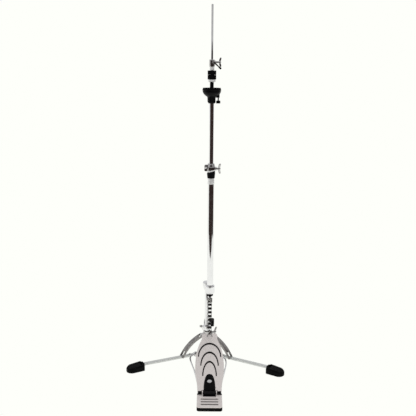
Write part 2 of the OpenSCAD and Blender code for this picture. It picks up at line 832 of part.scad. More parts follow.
module clutch_lever() color("silver")
    at_lever() difference() {
        union() {
            rod_y(3.2, -1.2, 1.2);
            translate([0, -1.2, -1.6]) cube([20, 2.4, 3.2]);
            rod_y(1.2, 0, 5);
        }
        translate([15, -3, -3]) cube([10, 1.9, 6]);
    }

module lever_tip() color("#1c1c1c")
    at_lever() translate([20, -2.2, -2.6]) cube([9, 4.4, 5.2]);

base_hub();
base_post();
leg_left();
leg_right();
leg_rear();
foot_left();
foot_right();
foot_rear();
leg_hinge_pins();
brace_left();
brace_right();
brace_rear();
brace_collar();
brace_pins();
collar_wing_bolt();
stop_ring();
stop_ring_bolt();
frame_head();
head_bushing();
frame_set_screw();
lower_tube();
receiver();
receiver_bush();
lock_collar();
lock_shoe();
lock_wing_bolt();
lock_key_bolt();
heel_plate();
heel_pad();
heel_block();
radius_rods();
hinge_pin();
footboard();
footboard_grips();
footboard_insert();
footboard_badge();
toe_bracket();
toe_rivets();
pull_rod();
spring_collar();
pull_spring();
rod_bumper();
chain_clevis();
chain_inner_links();
chain_outer_links();
upper_tube();
seat_body();
seat_sleeve();
tilt_plate();
seat_felt();
tilt_screw();
clutch_body();
clutch_spindle();
clutch_neck_nut();
clutch_felts();
clutch_nut();
clutch_wing_screw();
clutch_lever();
lever_tip();
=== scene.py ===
# Hi-hat stand: looks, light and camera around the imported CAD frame. Metres, +Z up, pedal towards -Y.
import json
import math

import bmesh
import bpy
from mathutils import Matrix, Vector, noise


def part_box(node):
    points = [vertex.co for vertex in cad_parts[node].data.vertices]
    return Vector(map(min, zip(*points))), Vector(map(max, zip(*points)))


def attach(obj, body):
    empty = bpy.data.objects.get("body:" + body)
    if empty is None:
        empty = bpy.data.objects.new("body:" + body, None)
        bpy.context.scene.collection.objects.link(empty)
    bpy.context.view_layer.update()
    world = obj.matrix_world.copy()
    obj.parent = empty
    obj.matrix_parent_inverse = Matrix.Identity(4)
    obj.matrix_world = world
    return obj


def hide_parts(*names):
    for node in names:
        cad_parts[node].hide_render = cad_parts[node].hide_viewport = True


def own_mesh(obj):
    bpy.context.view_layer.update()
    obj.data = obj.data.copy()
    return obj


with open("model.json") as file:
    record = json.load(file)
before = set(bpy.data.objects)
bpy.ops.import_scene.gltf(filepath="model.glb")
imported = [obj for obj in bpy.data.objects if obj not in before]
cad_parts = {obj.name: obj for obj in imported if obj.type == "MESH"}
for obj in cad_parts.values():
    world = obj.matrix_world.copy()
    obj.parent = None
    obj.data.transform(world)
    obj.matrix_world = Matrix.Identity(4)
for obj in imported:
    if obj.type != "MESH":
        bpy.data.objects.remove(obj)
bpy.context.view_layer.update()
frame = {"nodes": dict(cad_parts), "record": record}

MM = 0.001


# ---------------------------------------------------------------- places

def low(node):
    return Vector(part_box(node)[0])


def high(node):
    return Vector(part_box(node)[1])


def middle(node):
    return (low(node) + high(node)) / 2


def body_with(node):
    """Name of the body that a CAD node belongs to."""
    for body, nodes in frame["record"]["behaviour"]["bodies"].items():
        if node in nodes:
            return body
    return "root"


def joint(name):
    return next(j for j in frame["record"]["behaviour"]["joints"] if j["name"] == name)


PULL = Vector((middle("pull_rod").x, middle("pull_rod").y, 0))
POST = Vector((middle("base_post").x, middle("base_post").y, 0))


# ---------------------------------------------------------------- materials

class Material:
    """A Principled material with short helpers for procedural detail in object space."""

    def __init__(self, name, **sockets):
        self.mat = bpy.data.materials.new(name)
        self.mat.use_nodes = True
        self.nodes = self.mat.node_tree.nodes
        self.links = self.mat.node_tree.links
        self.shader = self.nodes["Principled BSDF"]
        self.coords = self.nodes.new("ShaderNodeTexCoord").outputs["Object"]
        self.normal = None
        for key, value in sockets.items():
            self.shader.inputs[key.replace("_", " ")].default_value = value

    def noise(self, scale, detail=3.0, stretch=(1, 1, 1), rough=0.5):
        mapping = self.nodes.new("ShaderNodeMapping")
        mapping.inputs["Scale"].default_value = stretch
        texture = self.nodes.new("ShaderNodeTexNoise")
        texture.inputs["Scale"].default_value = scale
        texture.inputs["Detail"].default_value = detail
        texture.inputs["Roughness"].default_value = rough
        self.links.new(self.coords, mapping.inputs["Vector"])
        self.links.new(mapping.outputs["Vector"], texture.inputs["Vector"])
        return texture.outputs["Fac"]

    def cells(self, scale):
        texture = self.nodes.new("ShaderNodeTexVoronoi")
        texture.inputs["Scale"].default_value = scale
        self.links.new(self.coords, texture.inputs["Vector"])
        return texture.outputs["Distance"]

    def ramp(self, fac, low_value, high_value, start=0.3, end=0.7):
        node = self.nodes.new("ShaderNodeMapRange")
        node.inputs["From Min"].default_value = start
        node.inputs["From Max"].default_value = end
        node.inputs["To Min"].default_value = low_value
        node.inputs["To Max"].default_value = high_value
        self.links.new(fac, node.inputs["Value"])
        return node.outputs["Result"]

    def mix(self, fac, first, second):
        node = self.nodes.new("ShaderNodeMix")
        node.data_type = "RGBA"
        node.inputs["A"].default_value = (*first, 1)
        node.inputs["B"].default_value = (*second, 1)
        self.links.new(fac, node.inputs["Factor"])
        return node.outputs["Result"]

    def colour(self, fac, first, second, start=0.35, end=0.65):
        self.links.new(self.mix(self.ramp(fac, 0, 1, start, end), first, second),
                       self.shader.inputs["Base Color"])

    def roughness(self, fac, smooth, rough, start=0.35, end=0.65):
        self.links.new(self.ramp(fac, smooth, rough, start, end), self.shader.inputs["Roughness"])

    def bump(self, fac, depth, strength=1.0):
        node = self.nodes.new("ShaderNodeBump")
        node.inputs["Distance"].default_value = depth
        node.inputs["Strength"].default_value = strength
        self.links.new(fac, node.inputs["Height"])
        if self.normal is not None:
            self.links.new(self.normal, node.inputs["Normal"])
        self.normal = node.outputs["Normal"]
        self.links.new(self.normal, self.shader.inputs["Normal"])


def chrome_material():
    m = Material("polished_chrome", Metallic=1.0)
    m.colour(m.noise(35), (0.80, 0.80, 0.81), (0.87, 0.87, 0.88))
    m.roughness(m.noise(120, 5), 0.04, 0.12)
    m.bump(m.noise(900, 2), 0.00001, 0.4)
    return m.mat


def cast_chrome_material():
    m = Material("chromed_casting", Metallic=1.0)
    m.colour(m.noise(60), (0.46, 0.45, 0.45), (0.60, 0.59, 0.585))
    m.roughness(m.noise(200, 5), 0.08, 0.2)
    m.bump(m.noise(700, 3), 0.00003, 0.5)
    return m.mat


def rod_material():
    m = Material("ground_rod", Metallic=1.0)
    m.colour(m.noise(60), (0.46, 0.46, 0.46), (0.54, 0.54, 0.54))
    m.roughness(m.noise(200, 4), 0.03, 0.07)
    return m.mat


def leg_material():
    m = Material("satin_leg_plate", Metallic=0.6)
    m.colour(m.noise(60, 4, (1, 1, 4)), (0.56, 0.575, 0.56), (0.66, 0.675, 0.66))
    m.roughness(m.noise(200, 4), 0.38, 0.5)
    m.bump(m.noise(900, 3), 0.00002, 0.5)
    return m.mat


def steel_material():
    m = Material("zinc_plated_steel", Metallic=1.0)
    m.colour(m.noise(180, 4), (0.38, 0.37, 0.36), (0.58, 0.57, 0.55))
    m.roughness(m.noise(300, 4), 0.22, 0.42)
    m.bump(m.noise(1400, 3), 0.00003, 0.5)
    return m.mat


def dark_steel_material():
    m = Material("browned_steel", Metallic=1.0)
    m.colour(m.noise(200, 4), (0.16, 0.12, 0.11), (0.30, 0.25, 0.23))
    m.roughness(m.noise(300, 4), 0.25, 0.42)
    return m.mat


# Darker copy of the plated steel colour: painted shade for the braces and the clutch lever.
def shaded_steel_material():
    m = Material("shade_darkened_plate", Metallic=1.0)
    m.colour(m.noise(150, 4), (0.22, 0.21, 0.205), (0.38, 0.365, 0.355))
    m.roughness(m.noise(260, 4), 0.2, 0.38)
    m.bump(m.noise(900, 3), 0.00003, 0.5)
    return m.mat


def chain_material():
    m = Material("oiled_chain_steel", Metallic=1.0)
    m.colour(m.noise(350, 4), (0.025, 0.024, 0.024), (0.075, 0.07, 0.068))
    m.roughness(m.noise(300, 4), 0.22, 0.4)
    return m.mat


def satin_ring_material():
    m = Material("satin_chrome_ring", Metallic=0.6)
    m.colour(m.noise(200), (0.74, 0.74, 0.74), (0.80, 0.80, 0.80))
    m.roughness(m.noise(300), 0.45, 0.55)
    return m.mat


def spring_material():
    m = Material("oiled_spring_steel", Metallic=1.0)
    m.colour(m.noise(400, 4), (0.14, 0.14, 0.15), (0.28, 0.27, 0.26))
    m.roughness(m.noise(300), 0.28, 0.42)
    return m.mat


def cast_material():
    m = Material("satin_black_casting", Specular_IOR_Level=0.08)
    m.colour(m.noise(60, 4), (0.0015, 0.0015, 0.0017), (0.004, 0.004, 0.0045))
    m.roughness(m.noise(700, 4), 0.30, 0.45)
    m.bump(m.noise(1500, 3), 0.00006, 0.5)
    return m.mat


def aluminium_material():
    m = Material("satin_aluminium", Metallic=0.3)
    m.colour(m.noise(220, 5, (6, 0.5, 1)), (0.60, 0.555, 0.535), (0.70, 0.66, 0.64))
    m.roughness(m.noise(90, 4), 0.38, 0.52)
    m.bump(m.noise(500, 4, (5, 0.35, 1)), 0.00004, 0.6)
    m.bump(m.noise(1600, 2), 0.00002, 0.5)
    return m.mat


def badge_material():
    m = Material("bright_stud", Metallic=1.0)
    m.colour(m.noise(300), (0.60, 0.60, 0.61), (0.74, 0.74, 0.74))
    m.roughness(m.noise(400, 4), 0.16, 0.28)
    return m.mat


def plastic_material():
    m = Material("moulded_black_plastic", Specular_IOR_Level=0.06)
    m.colour(m.noise(80, 3), (0.0012, 0.0012, 0.0014), (0.003, 0.003, 0.0034))
    m.roughness(m.noise(400, 3), 0.34, 0.48)
    m.bump(m.cells(1500), 0.00004, 0.4)
    return m.mat


def rubber_material():
    m = Material("matt_rubber", Specular_IOR_Level=0.06)
    m.colour(m.noise(70, 5), (0.0012, 0.0012, 0.0014), (0.004, 0.004, 0.004))
    m.roughness(m.noise(250, 4), 0.5, 0.72)
    m.bump(m.noise(900, 4), 0.00012, 0.6)
    return m.mat


def felt_material():
    m = Material("pressed_black_felt", Specular_IOR_Level=0.02)
    m.colour(m.noise(900, 6, rough=0.7), (0.0012, 0.0012, 0.0014), (0.006, 0.006, 0.0065), 0.4, 0.7)
    m.roughness(m.noise(400), 0.88, 0.98)
    m.bump(m.noise(1600, 5, rough=0.8), 0.0005, 0.8)
    m.bump(m.noise(250, 3), 0.0004, 0.5)
    return m.mat


def nylon_material():
    m = Material("natural_nylon", Subsurface_Weight=0.1)
    m.colour(m.noise(90), (0.78, 0.76, 0.70), (0.84, 0.83, 0.78))
    m.roughness(m.noise(300), 0.42, 0.55)
    return m.mat


def brass_material():
    m = Material("machined_brass", Metallic=1.0)
    m.colour(m.noise(300), (0.62, 0.45, 0.20), (0.72, 0.55, 0.28))
    m.roughness(m.noise(400), 0.2, 0.35)
    return m.mat


LOOKS = {
    "chrome": chrome_material(), "steel": steel_material(), "spring_steel": spring_material(),
    "cast_black": cast_material(), "aluminium": aluminium_material(), "badge_metal": badge_material(),
    "black_plastic": plastic_material(), "rubber": rubber_material(), "felt": felt_material(),
    "nylon": nylon_material(), "brass": brass_material(), "dark_steel": dark_steel_material(),
    "shaded_steel": shaded_steel_material(), "chain_steel": chain_material(), "satin_ring": satin_ring_material(),
    "cast_chrome": cast_chrome_material(), "rod_chrome": rod_material(),
    "leg_satin": leg_material(),
}
SLOT_OF = {s["node"]: s["material_slot"] for s in frame["record"]["subparts"]}


def paint(obj, look):
    obj.data.materials.clear()
    obj.data.materials.append(LOOKS[look])


# ---------------------------------------------------------------- outlines, in millimetres

def arc(cx, cy, radius, start, end, steps):
    """Points on an arc, with angles in degrees."""
    turns = [math.radians(start + (end - start) * k / steps) for k in range(steps + 1)]
    return [Vector((cx + radius * math.cos(a), cy + radius * math.sin(a))) for a in turns]


def rounded(points, radius, steps=4):
    """Closed outline with its corners turned into arcs; a third number is that corner's own radius."""
    out = []
    count = len(points)
    for k, point in enumerate(points):
        here = Vector(point[:2])
        wanted = point[2] if len(point) > 2 else radius
        back = Vector(points[k - 1][:2]) - here
        ahead = Vector(points[(k + 1) % count][:2]) - here
        angle = back.angle(ahead)
        if wanted == 0 or angle > math.radians(172):
            out.append(here)
            continue
        reach = min(wanted / math.tan(angle / 2), back.length * 0.49, ahead.length * 0.49)
        back.normalize()
        ahead.normalize()
        centre = here + (back + ahead).normalized() * (reach / math.cos(angle / 2))
        first = here + back * reach - centre
        last = here + ahead * reach - centre
        start = math.atan2(first.y, first.x)
        sweep = (math.atan2(last.y, last.x) - start + math.pi) % (2 * math.pi) - math.pi
        for s in range(steps + 1):
            a = start + sweep * s / steps
            out.append(centre + Vector((math.cos(a), math.sin(a))) * first.length)
    return out


def softened(points, times=3):
    """Closed outline with its corners cut again and again, which leaves one smooth curve."""
    loop = [Vector(p) for p in points]
    for _ in range(times):
        pairs = list(zip(loop, loop[1:] + loop[:1]))
        loop = [p for a, b in pairs for p in (a.lerp(b, 0.25), a.lerp(b, 0.75))]
    return loop


def offset(loop, distance):
    """Loop moved to its left: inwards for an anticlockwise outline, into the material for a clockwise hole."""
    out = []
    loop = [Vector(p[:2]) for p in loop]
    for k, here in enumerate(loop):
        a = (here - loop[k - 1]).normalized()
        b = (loop[(k + 1) % len(loop)] - here).normalized()
        left_a = Vector((-a.y, a.x))
        left_b = Vector((-b.y, b.x))
        out.append(here + (left_a + left_b) * (distance / max(0.3, 1 + left_a.dot(left_b))))
    return out


def rectangle(x0, y0, x1, y1, radius, steps=4):
    return rounded([(x0, y0), (x1, y0), (x1, y1), (x0, y1)], radius, steps)


def curve_through(points, steps=8):
    """Smooth line through points in space."""
    pts = [Vector(p) for p in points]
    pts = [2 * pts[0] - pts[1]] + pts + [2 * pts[-1] - pts[-2]]
    out = []
    for a, b, c, d in zip(pts, pts[1:], pts[2:], pts[3:]):
        for s in range(steps):
            t = s / steps
            out.append(0.5 * (2 * b + (c - a) * t + (2 * a - 5 * b + 4 * c - d) * t * t
                              + (3 * b - a - 3 * c + d) * t * t * t))
    return out + [pts[-2]]


def threaded(radius, z0, z1, pitch, depth):
    """Zigzag side of a screw thread, drawn as rings."""
    turns = max(2, int((z1 - z0) / pitch))
    step = (z1 - z0) / turns
    side = [(radius - depth, z0)]
    for k in range(turns):
        side += [(radius, z0 + step * (k + 0.35)), (radius, z0 + step * (k + 0.6)),
                 (radius - depth, z0 + step * (k + 1))]
    return side


# Turns a shape drawn in XY and raised along Z into one that lies along another axis
ALONG_X = Matrix(((0, 0, 1, 0), (1, 0, 0, 0), (0, 1, 0, 0), (0, 0, 0, 1)))
ALONG_Y = Matrix.Rotation(math.pi / 2, 4, "X")
UPRIGHT = Matrix.Identity(4)


def shift(x, y, z):
    return Matrix.Translation((x, y, z))


def turn(degrees, axis):
    return Matrix.Rotation(math.radians(degrees), 4, axis)


class Shape:
    """A piece's mesh, gathered in millimetres from turned, cut and swept forms."""

    def __init__(self):
        self.bm = bmesh.new()

    def _placed(self, first, at):
        self.bm.verts.ensure_lookup_table()
        bmesh.ops.transform(self.bm, matrix=at, verts=self.bm.verts[first:])

    def _skin(self, rings, wrap):
        """Faces between neighbouring rings; a ring of one vertex is a pole."""
        pairs = list(zip(rings, rings[1:])) + ([(rings[-1], rings[0])] if wrap else [])
        for a, b in pairs:
            count = max(len(a), len(b))
            for k in range(count):
                n = (k + 1) % count
                corners = [a[k % len(a)], a[n % len(a)], b[n % len(b)], b[k % len(b)]]
                unique = []
                for v in corners:
                    if v not in unique:
                        unique.append(v)
                self.bm.faces.new(unique)

    def revolve(self, profile, at=UPRIGHT, segs=96, flutes=0, depth=0.0, flute_r=0.0, lean=None):
        """Turned form. A profile that starts and ends on the axis is solid, and any other is a closed ring."""
        first = len(self.bm.verts)
        rings = []
        for r, z in profile:
            if r < 1e-6:
                rings.append([self.bm.verts.new((0, 0, z))])
                continue
            slope = lean(z) if lean else 0.0
            ring = []
            for k in range(segs):
                a = 2 * math.pi * k / segs
                rr = r
                if flutes and r >= flute_r:
                    rr -= depth * (0.5 - 0.5 * math.cos(flutes * a)) ** 2
                ring.append(self.bm.verts.new((rr * math.cos(a), rr * math.sin(a),
                                               z + slope * rr * math.cos(a))))
            rings.append(ring)
        self._skin(rings, wrap=profile[0][0] > 1e-6)
        self._placed(first, at)
        return self

    def slab(self, loops, z0, z1, edge=0.4, at=UPRIGHT, steps=3):
        """Flat form between two heights with rounded edges: an outline, and holes drawn clockwise."""
        first = len(self.bm.verts)
        quarter = [math.pi / 2 * k / steps for k in range(steps + 1)]
        sections = [(edge * (1 - math.sin(a)), z0 + edge * (1 - math.cos(a))) for a in quarter]
        sections += [(edge * (1 - math.sin(a)), z1 - edge * (1 - math.cos(a))) for a in reversed(quarter)]
        ends = ([], [])
        for loop in loops:
            rings = [[self.bm.verts.new((p.x, p.y, z)) for p in offset(loop, d)] for d, z in sections]
            self._skin(rings, wrap=False)
            ends[0].append(rings[0])
            ends[1].append(rings[-1])
        self._cap(ends[0])
        self._cap(ends[1])
        self._placed(first, at)
        return self

    def _cap(self, rings):
        if len(rings) == 1:
            self.bm.faces.new(rings[0])
            return
        edges = [self.bm.edges.get((a, b)) for ring in rings for a, b in zip(ring, ring[1:] + ring[:1])]
        bmesh.ops.triangle_fill(self.bm, edges=edges, use_beauty=True)

    def terraces(self, outline, sections, at=UPRIGHT):
        """Closed form through rings that follow one outline: each section is an inset and a height or rule."""
        first = len(self.bm.verts)
        rings = []
        for inset, height in sections:
            ring = []
            for p in offset(outline, inset):
                z = height(p.x, p.y) if callable(height) else height
                ring.append(self.bm.verts.new((p.x, p.y, z)))
            rings.append(ring)
        self._skin(rings, wrap=False)
        self._cap([rings[0]])
        self._cap([rings[-1]])
        self._placed(first, at)
        return self

    def sweep(self, path, radius, at=UPRIGHT, segs=20):
        """Round bar along a path, with softly rounded ends."""
        first = len(self.bm.verts)
        path = [Vector(p) for p in path]
        ahead = (path[1] - path[0]).normalized()
        side = ahead.orthogonal().normalized()
        rings = []
        for k, point in enumerate(path):
            a = path[max(0, k - 1)]
            b = path[min(len(path) - 1, k + 1)]
            new = (b - a).normalized()
            side = (ahead.rotation_difference(new) @ side).normalized()
            ahead = new
            up = ahead.cross(side)
            steps = [(1.0, 0.0)]
            if k == 0:
                steps = [(0.6, -0.32), (0.9, -0.2), (1.0, 0.0)]
            if k == len(path) - 1:
                steps = [(1.0, 0.0), (0.9, 0.2), (0.6, 0.32)]
            for scale, push in steps:
                centre = point + ahead * (push * radius)
                rings.append([self.bm.verts.new(centre + (side * math.cos(t) + up * math.sin(t)) * radius * scale)
                              for t in (2 * math.pi * n / segs for n in range(segs))])
        self._skin(rings, wrap=False)
        self._cap([rings[0]])
        self._cap([rings[-1]])
        self._placed(first, at)
        return self

    def rivet(self, at, head_r, head_h, shank_r, shank):
        """Domed head from z = 0 up, with its shank below."""
        dome = [(head_r * math.cos(t), head_h * (0.25 + 0.75 * math.sin(t)))
                for t in (math.pi / 2 * k / 6 for k in range(6))]
        return self.revolve([(0, -shank), (shank_r, -shank), (shank_r, 0),
                             (head_r, 0)] + dome + [(0, head_h)],
                            at, segs=40)

    def ripple(self, scale, depth):
        """Small uneven swelling, as on cloth or rubber."""
        self.bm.normal_update()
        for v in self.bm.verts:
            v.co += v.normal * depth * noise.noise(v.co * scale)
        return self

    def done(self, name, node, place=UPRIGHT, look=None, sharp=34):
        """Turns the gathered mesh into a piece that stands for a CAD node, and returns it."""
        self.bm.transform(place @ Matrix.Scale(MM, 4))
        bmesh.ops.recalc_face_normals(self.bm, faces=self.bm.faces[:])
        mesh = bpy.data.meshes.new(name)
        self.bm.to_mesh(mesh)
        self.bm.free()
        mesh.shade_smooth()
        mesh.set_sharp_from_angle(angle=math.radians(sharp))
        obj = bpy.data.objects.new(name, mesh)
        bpy.context.scene.collection.objects.link(obj)
        paint(obj, look or SLOT_OF[node])
        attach(obj, body_with(node))
        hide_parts(node)
        return obj


def cast_copy(name, node, voxel, passes, look=None):
    """Casting with rounded edges and fillets: the CAD node's form, remeshed and smoothed."""
    source = frame["nodes"][node]
    obj = bpy.data.objects.new(name, source.data.copy())
    bpy.context.scene.collection.objects.link(obj)
    remesh = obj.modifiers.new("remesh", "REMESH")
    remesh.mode = "VOXEL"
    remesh.voxel_size = voxel * MM
    smooth = obj.modifiers.new("smooth", "SMOOTH")
    smooth.iterations = passes
    bpy.context.view_layer.update()
    mesh = bpy.data.meshes.new_from_object(obj.evaluated_get(bpy.context.evaluated_depsgraph_get()))
    obj.modifiers.clear()
    obj.data = mesh
    obj.data.name = name
    mesh.shade_smooth()
    paint(obj, look or SLOT_OF[node])
    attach(obj, body_with(node))
    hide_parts(node)
    return obj


# ---------------------------------------------------------------- sizes, in millimetres

HINGE = Vector(joint("pedal_press")["pos_m"])
BOARD_SLOPE = 15.6
BOARD_LEN = 252
BOARD_TOP = 3.6
TOE_S = 224
BELLY_S = 98
HEEL_HALF = 34.4
BELLY_HALF = 42.2
TOE_HALF = 24
LOCK_SLOPE = math.tan(math.radians(13))
LEG_RISE = 2
LEG_SIDES = ("left", "right", "rear")

AT_PULL = Matrix.Translation(PULL)
AT_POST = Matrix.Translation(POST)
AT_BOARD = Matrix.Translation(HINGE) @ turn(BOARD_SLOPE, "X")


def mm(value):
    return value / MM


def heights(node):
    """Lowest and highest level of a CAD node."""
    return [mm(corner.z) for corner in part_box(node)]


def half_width(node):
    return mm(high(node).x - low(node).x) / 2


def leg_frame(side):
    """Frame at the foot of the post whose X axis points along a leg."""
    name = "leg_fold" if side == "left" else "leg_fold_" + side
    away = Vector(joint(name)["pos_m"]) - POST
    return AT_POST @ Matrix.Rotation(math.atan2(away.y, away.x), 4, "Z")


def leg_hinge():
    away = Vector(joint("leg_fold")["pos_m"]) - POST
    return mm(math.hypot(away.x, away.y)), mm(away.z)


def ear():
    away = Vector(joint("brace_swing_left")["pos_m"]) - POST
    return mm(math.hypot(away.x, away.y)), mm(away.z)


# ---------------------------------------------------------------- tubes and the pull rod

def tube(name, node, place, outer, inner, z0, z1, lip=0.35, look=None):
    profile = rounded([(inner, z0), (outer, z0), (outer, z1), (inner, z1)], lip, 3)
    return Shape().revolve(profile, segs=128).done(name, node, place, look)


def make_tubes():
    z0, z1 = heights("lower_tube")
    tube("lower_tube_chromed", "lower_tube", AT_PULL, 9.525, 8.3, z0, z1)
    ring_z0 = 566
    ring_z1 = 584.2
    tube("lower_tube_ring", "lower_tube", AT_PULL, 9.9, 9.4, ring_z0, ring_z1, look="satin_ring")
    z0, z1 = heights("upper_tube")
    tube("upper_tube_chromed", "upper_tube", AT_PULL, 7.15, 6.15, z0, z1)
    z0, z1 = heights("base_post")
    tube("base_post_chromed", "base_post", AT_POST, 7.15, 5.65, z0, z1)
    z0, z1 = heights("pull_rod")
    tip = [(3, z1 - 2.2), (2.85, z1 - 1.2), (2.4, z1 - 0.45), (1.6, z1 - 0.08), (0, z1)]
    stem = [(0, z0), (2.6, z0)] + threaded(3, z0 + 0.3, z0 + 11, 1.0, 0.35) + [(3, z0 + 12.5)]
    Shape().revolve(stem + tip, segs=64).done("pull_rod_polished", "pull_rod", AT_PULL, look="rod_chrome")


def make_receiver():
    z0 = mm(low("receiver").z)
    top = 602.4

    def lean(z):
        return LOCK_SLOPE if z > 598 else 0.0

    profile = rounded([(9.55, z0, 0.3), (10.9, z0, 1.0), (12.2, z0 + 12, 8), (12.2, top, 0.7),
                       (8.7, top, 0.4),
                       (8.7, z0 + 11.2, 0), (9.55, z0 + 11, 0)], 0.3, 4)
    Shape().revolve(profile, segs=128, lean=lean).done(
        "receiver_cup", "receiver", AT_PULL)
    bush = rounded([(7.22, 560), (8.28, 560), (8.28, 594.8), (8.58, 595.1), (8.58, 599.4), (7.22, 599.4)],
                   0.25, 3)
    Shape().revolve(bush).done("receiver_bush_nylon", "receiver_bush", AT_PULL)


def make_spring():
    """Compression spring around the rod inside the lower tube, drawn at rest; the real spring shortens as the
    pedal goes down.
    """
    bottom = joint("pull_slide")["deforming_nodes"][0]["fixed_end_z_m"]
    z0 = mm(bottom) + 1.0
    z1 = mm(high("pull_spring").z) - 1.0
    coils = 24
    around = 22
    radius = 5.6
    wire = 0.85
    path = []
    for k in range(coils * around + 1):
        a = 2 * math.pi * k / around
        path.append((radius * math.cos(a), radius * math.sin(a), z0 + (z1 - z0) * k / (coils * around)))
    spring = Shape().sweep(path, wire, segs=10).done("pull_spring_coil", "pull_spring", AT_PULL)
    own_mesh(spring)
    z0, z1 = heights("spring_collar")
    ring = rounded([(3.02, z0), (7.4, z0), (7.4, z1), (3.02, z1)], 0.5, 3)
    Shape().revolve(ring, flutes=24, depth=0.3, flute_r=7.3).done(
        "spring_collar_turned", "spring_collar", AT_PULL)


# ---------------------------------------------------------------- wing bolts and the memory lock

def wing_bolt(name, node, place, shank_r, shank_start, seat, hub_r, hub_len, span, thick):
    """Cast wing head on a threaded shank that lies along X; seat is where the head starts."""
    shape = Shape()
    side = threaded(shank_r, shank_start + 0.6, seat - 0.8, 1.0, 0.32)
    shape.revolve([(0, shank_start), (shank_r - 0.7, shank_start)] + side + [(shank_r, seat), (0, seat)],
                  ALONG_X, segs=48)
    hub = rounded([(0, seat - 0.4, 0), (hub_r, seat - 0.4, 0.9), (hub_r * 0.94, seat + hub_len * 0.6, 1.2),
                   (hub_r * 0.52, seat + hub_len, 1.4), (0, seat + hub_len, 0)], 0.6, 5)
    shape.revolve(hub, ALONG_X, segs=48)
    for s in (-1, 1):
        wing = softened([
            (seat + hub_len * 0.12, 0), (seat + hub_len * 0.72, 0), (seat + hub_len * 0.86, hub_r),
            (seat + hub_len * 1.06, span * 0.62), (seat + hub_len * 1.16, span * 0.92),
            (seat + hub_len * 0.86, span * 1.03), (seat + hub_len * 0.42, span * 0.94),
            (seat + hub_len * 0.1, span * 0.5), (seat + hub_len * 0.04, hub_r * 0.8)], 3)
        flip = turn(0 if s > 0 else 180, "X")
        shape.slab([wing], -thick / 2, thick / 2, thick * 0.42, flip @ ALONG_Y, steps=4)
    return shape.done(name, node, place, look="cast_chrome")


def make_lock():
    bolt = mm(middle("lock_shoe").z)
    edge = 603.6
    band = 617.5
    top = 628

    def lean(z):
        return LOCK_SLOPE * max(0.0, min(1.0, (611 - z) / 4))

    shape = Shape()
    profile = rounded([(7.25, edge + 4.4, 0.2), (12.9, edge + 4.4, 0.2), (13, edge + 5, 0.2), (13, band, 0.9),
                       (12.2, band + 1.2, 0.6), (9.6, top, 0.8), (7.25, top, 0.3)], 0.4, 4)
    shape.revolve(profile, segs=128, lean=lean)
    # The slanted seat band takes the bright satin ring look: a painted highlight along the collar's lower edge.
    seat = rounded([(7.25, edge, 0.2), (10.6, edge, 0.3), (13, edge + 3, 0.8), (13, edge + 4.6, 0.2),
                    (7.25, edge + 4.6, 0.2)], 0.3, 4)
    Shape().revolve(seat, segs=128, lean=lean).done(
        "lock_collar_seat_highlight", "lock_collar", AT_PULL, look="satin_ring")
    ear_outline = rounded([(-20, bolt - 7.5, 2.6), (-9, bolt - 7.5, 0.6), (-9, bolt + 11.5, 0.6),
                           (-20, bolt + 11.5, 3.6)], 2, 5)
    for y0, y1 in ((-5, -0.8), (0.8, 5)):
        shape.slab([ear_outline], y0, y1, 0.7, ALONG_Y)
    boss = rounded([(3.1, 7.4, 0), (6.2, 7.4, 0), (5.6, 13, 1.5), (5.6, 16.5, 0.8), (3.1, 16.5, 0.3)], 0.4, 4)
    shape.revolve(boss, shift(0, 0, bolt) @ ALONG_X, segs=64)
    shape.done("lock_collar_cast", "lock_collar", AT_PULL, look="cast_chrome")
    place = AT_PULL @ Matrix.Translation((0, 0, bolt * MM)) @ turn(24, "X")
    wing_bolt("lock_wing_bolt_cast", "lock_wing_bolt", place, 3, 9.5, 20, 4.6, 8, 17.5, 2.8)
    key = Matrix.Translation((-16 * MM, 0, 616 * MM))
    shape = Shape()
    shape.revolve([(0, -6.2), (1.6, -6.2)] + threaded(2, -6, 5, 0.8, 0.25) + [(2, 5.2), (0, 5.2)],
                  ALONG_Y, segs=40)
    shape.revolve(rounded([(0, 5, 0), (3.4, 5), (3.4, 7.6), (0, 7.6, 0)], 0.5, 3), ALONG_Y, segs=48)
    shape.slab([rectangle(-2.3, -2.3, 2.3, 2.3, 0.5)], 7.2, 11.6, 0.5, ALONG_Y)
    shape.done("lock_key_bolt_square", "lock_key_bolt", AT_PULL @ key, look="satin_ring")
    shoe = rounded([(0, 7.3, 0), (3, 7.3), (3, 9.1), (0, 9.1, 0)], 0.3, 3)
    Shape().revolve(shoe, shift(0, 0, bolt) @ ALONG_X, segs=48).done(
        "lock_shoe_brass", "lock_shoe", AT_PULL)


# ---------------------------------------------------------------- base, legs and braces

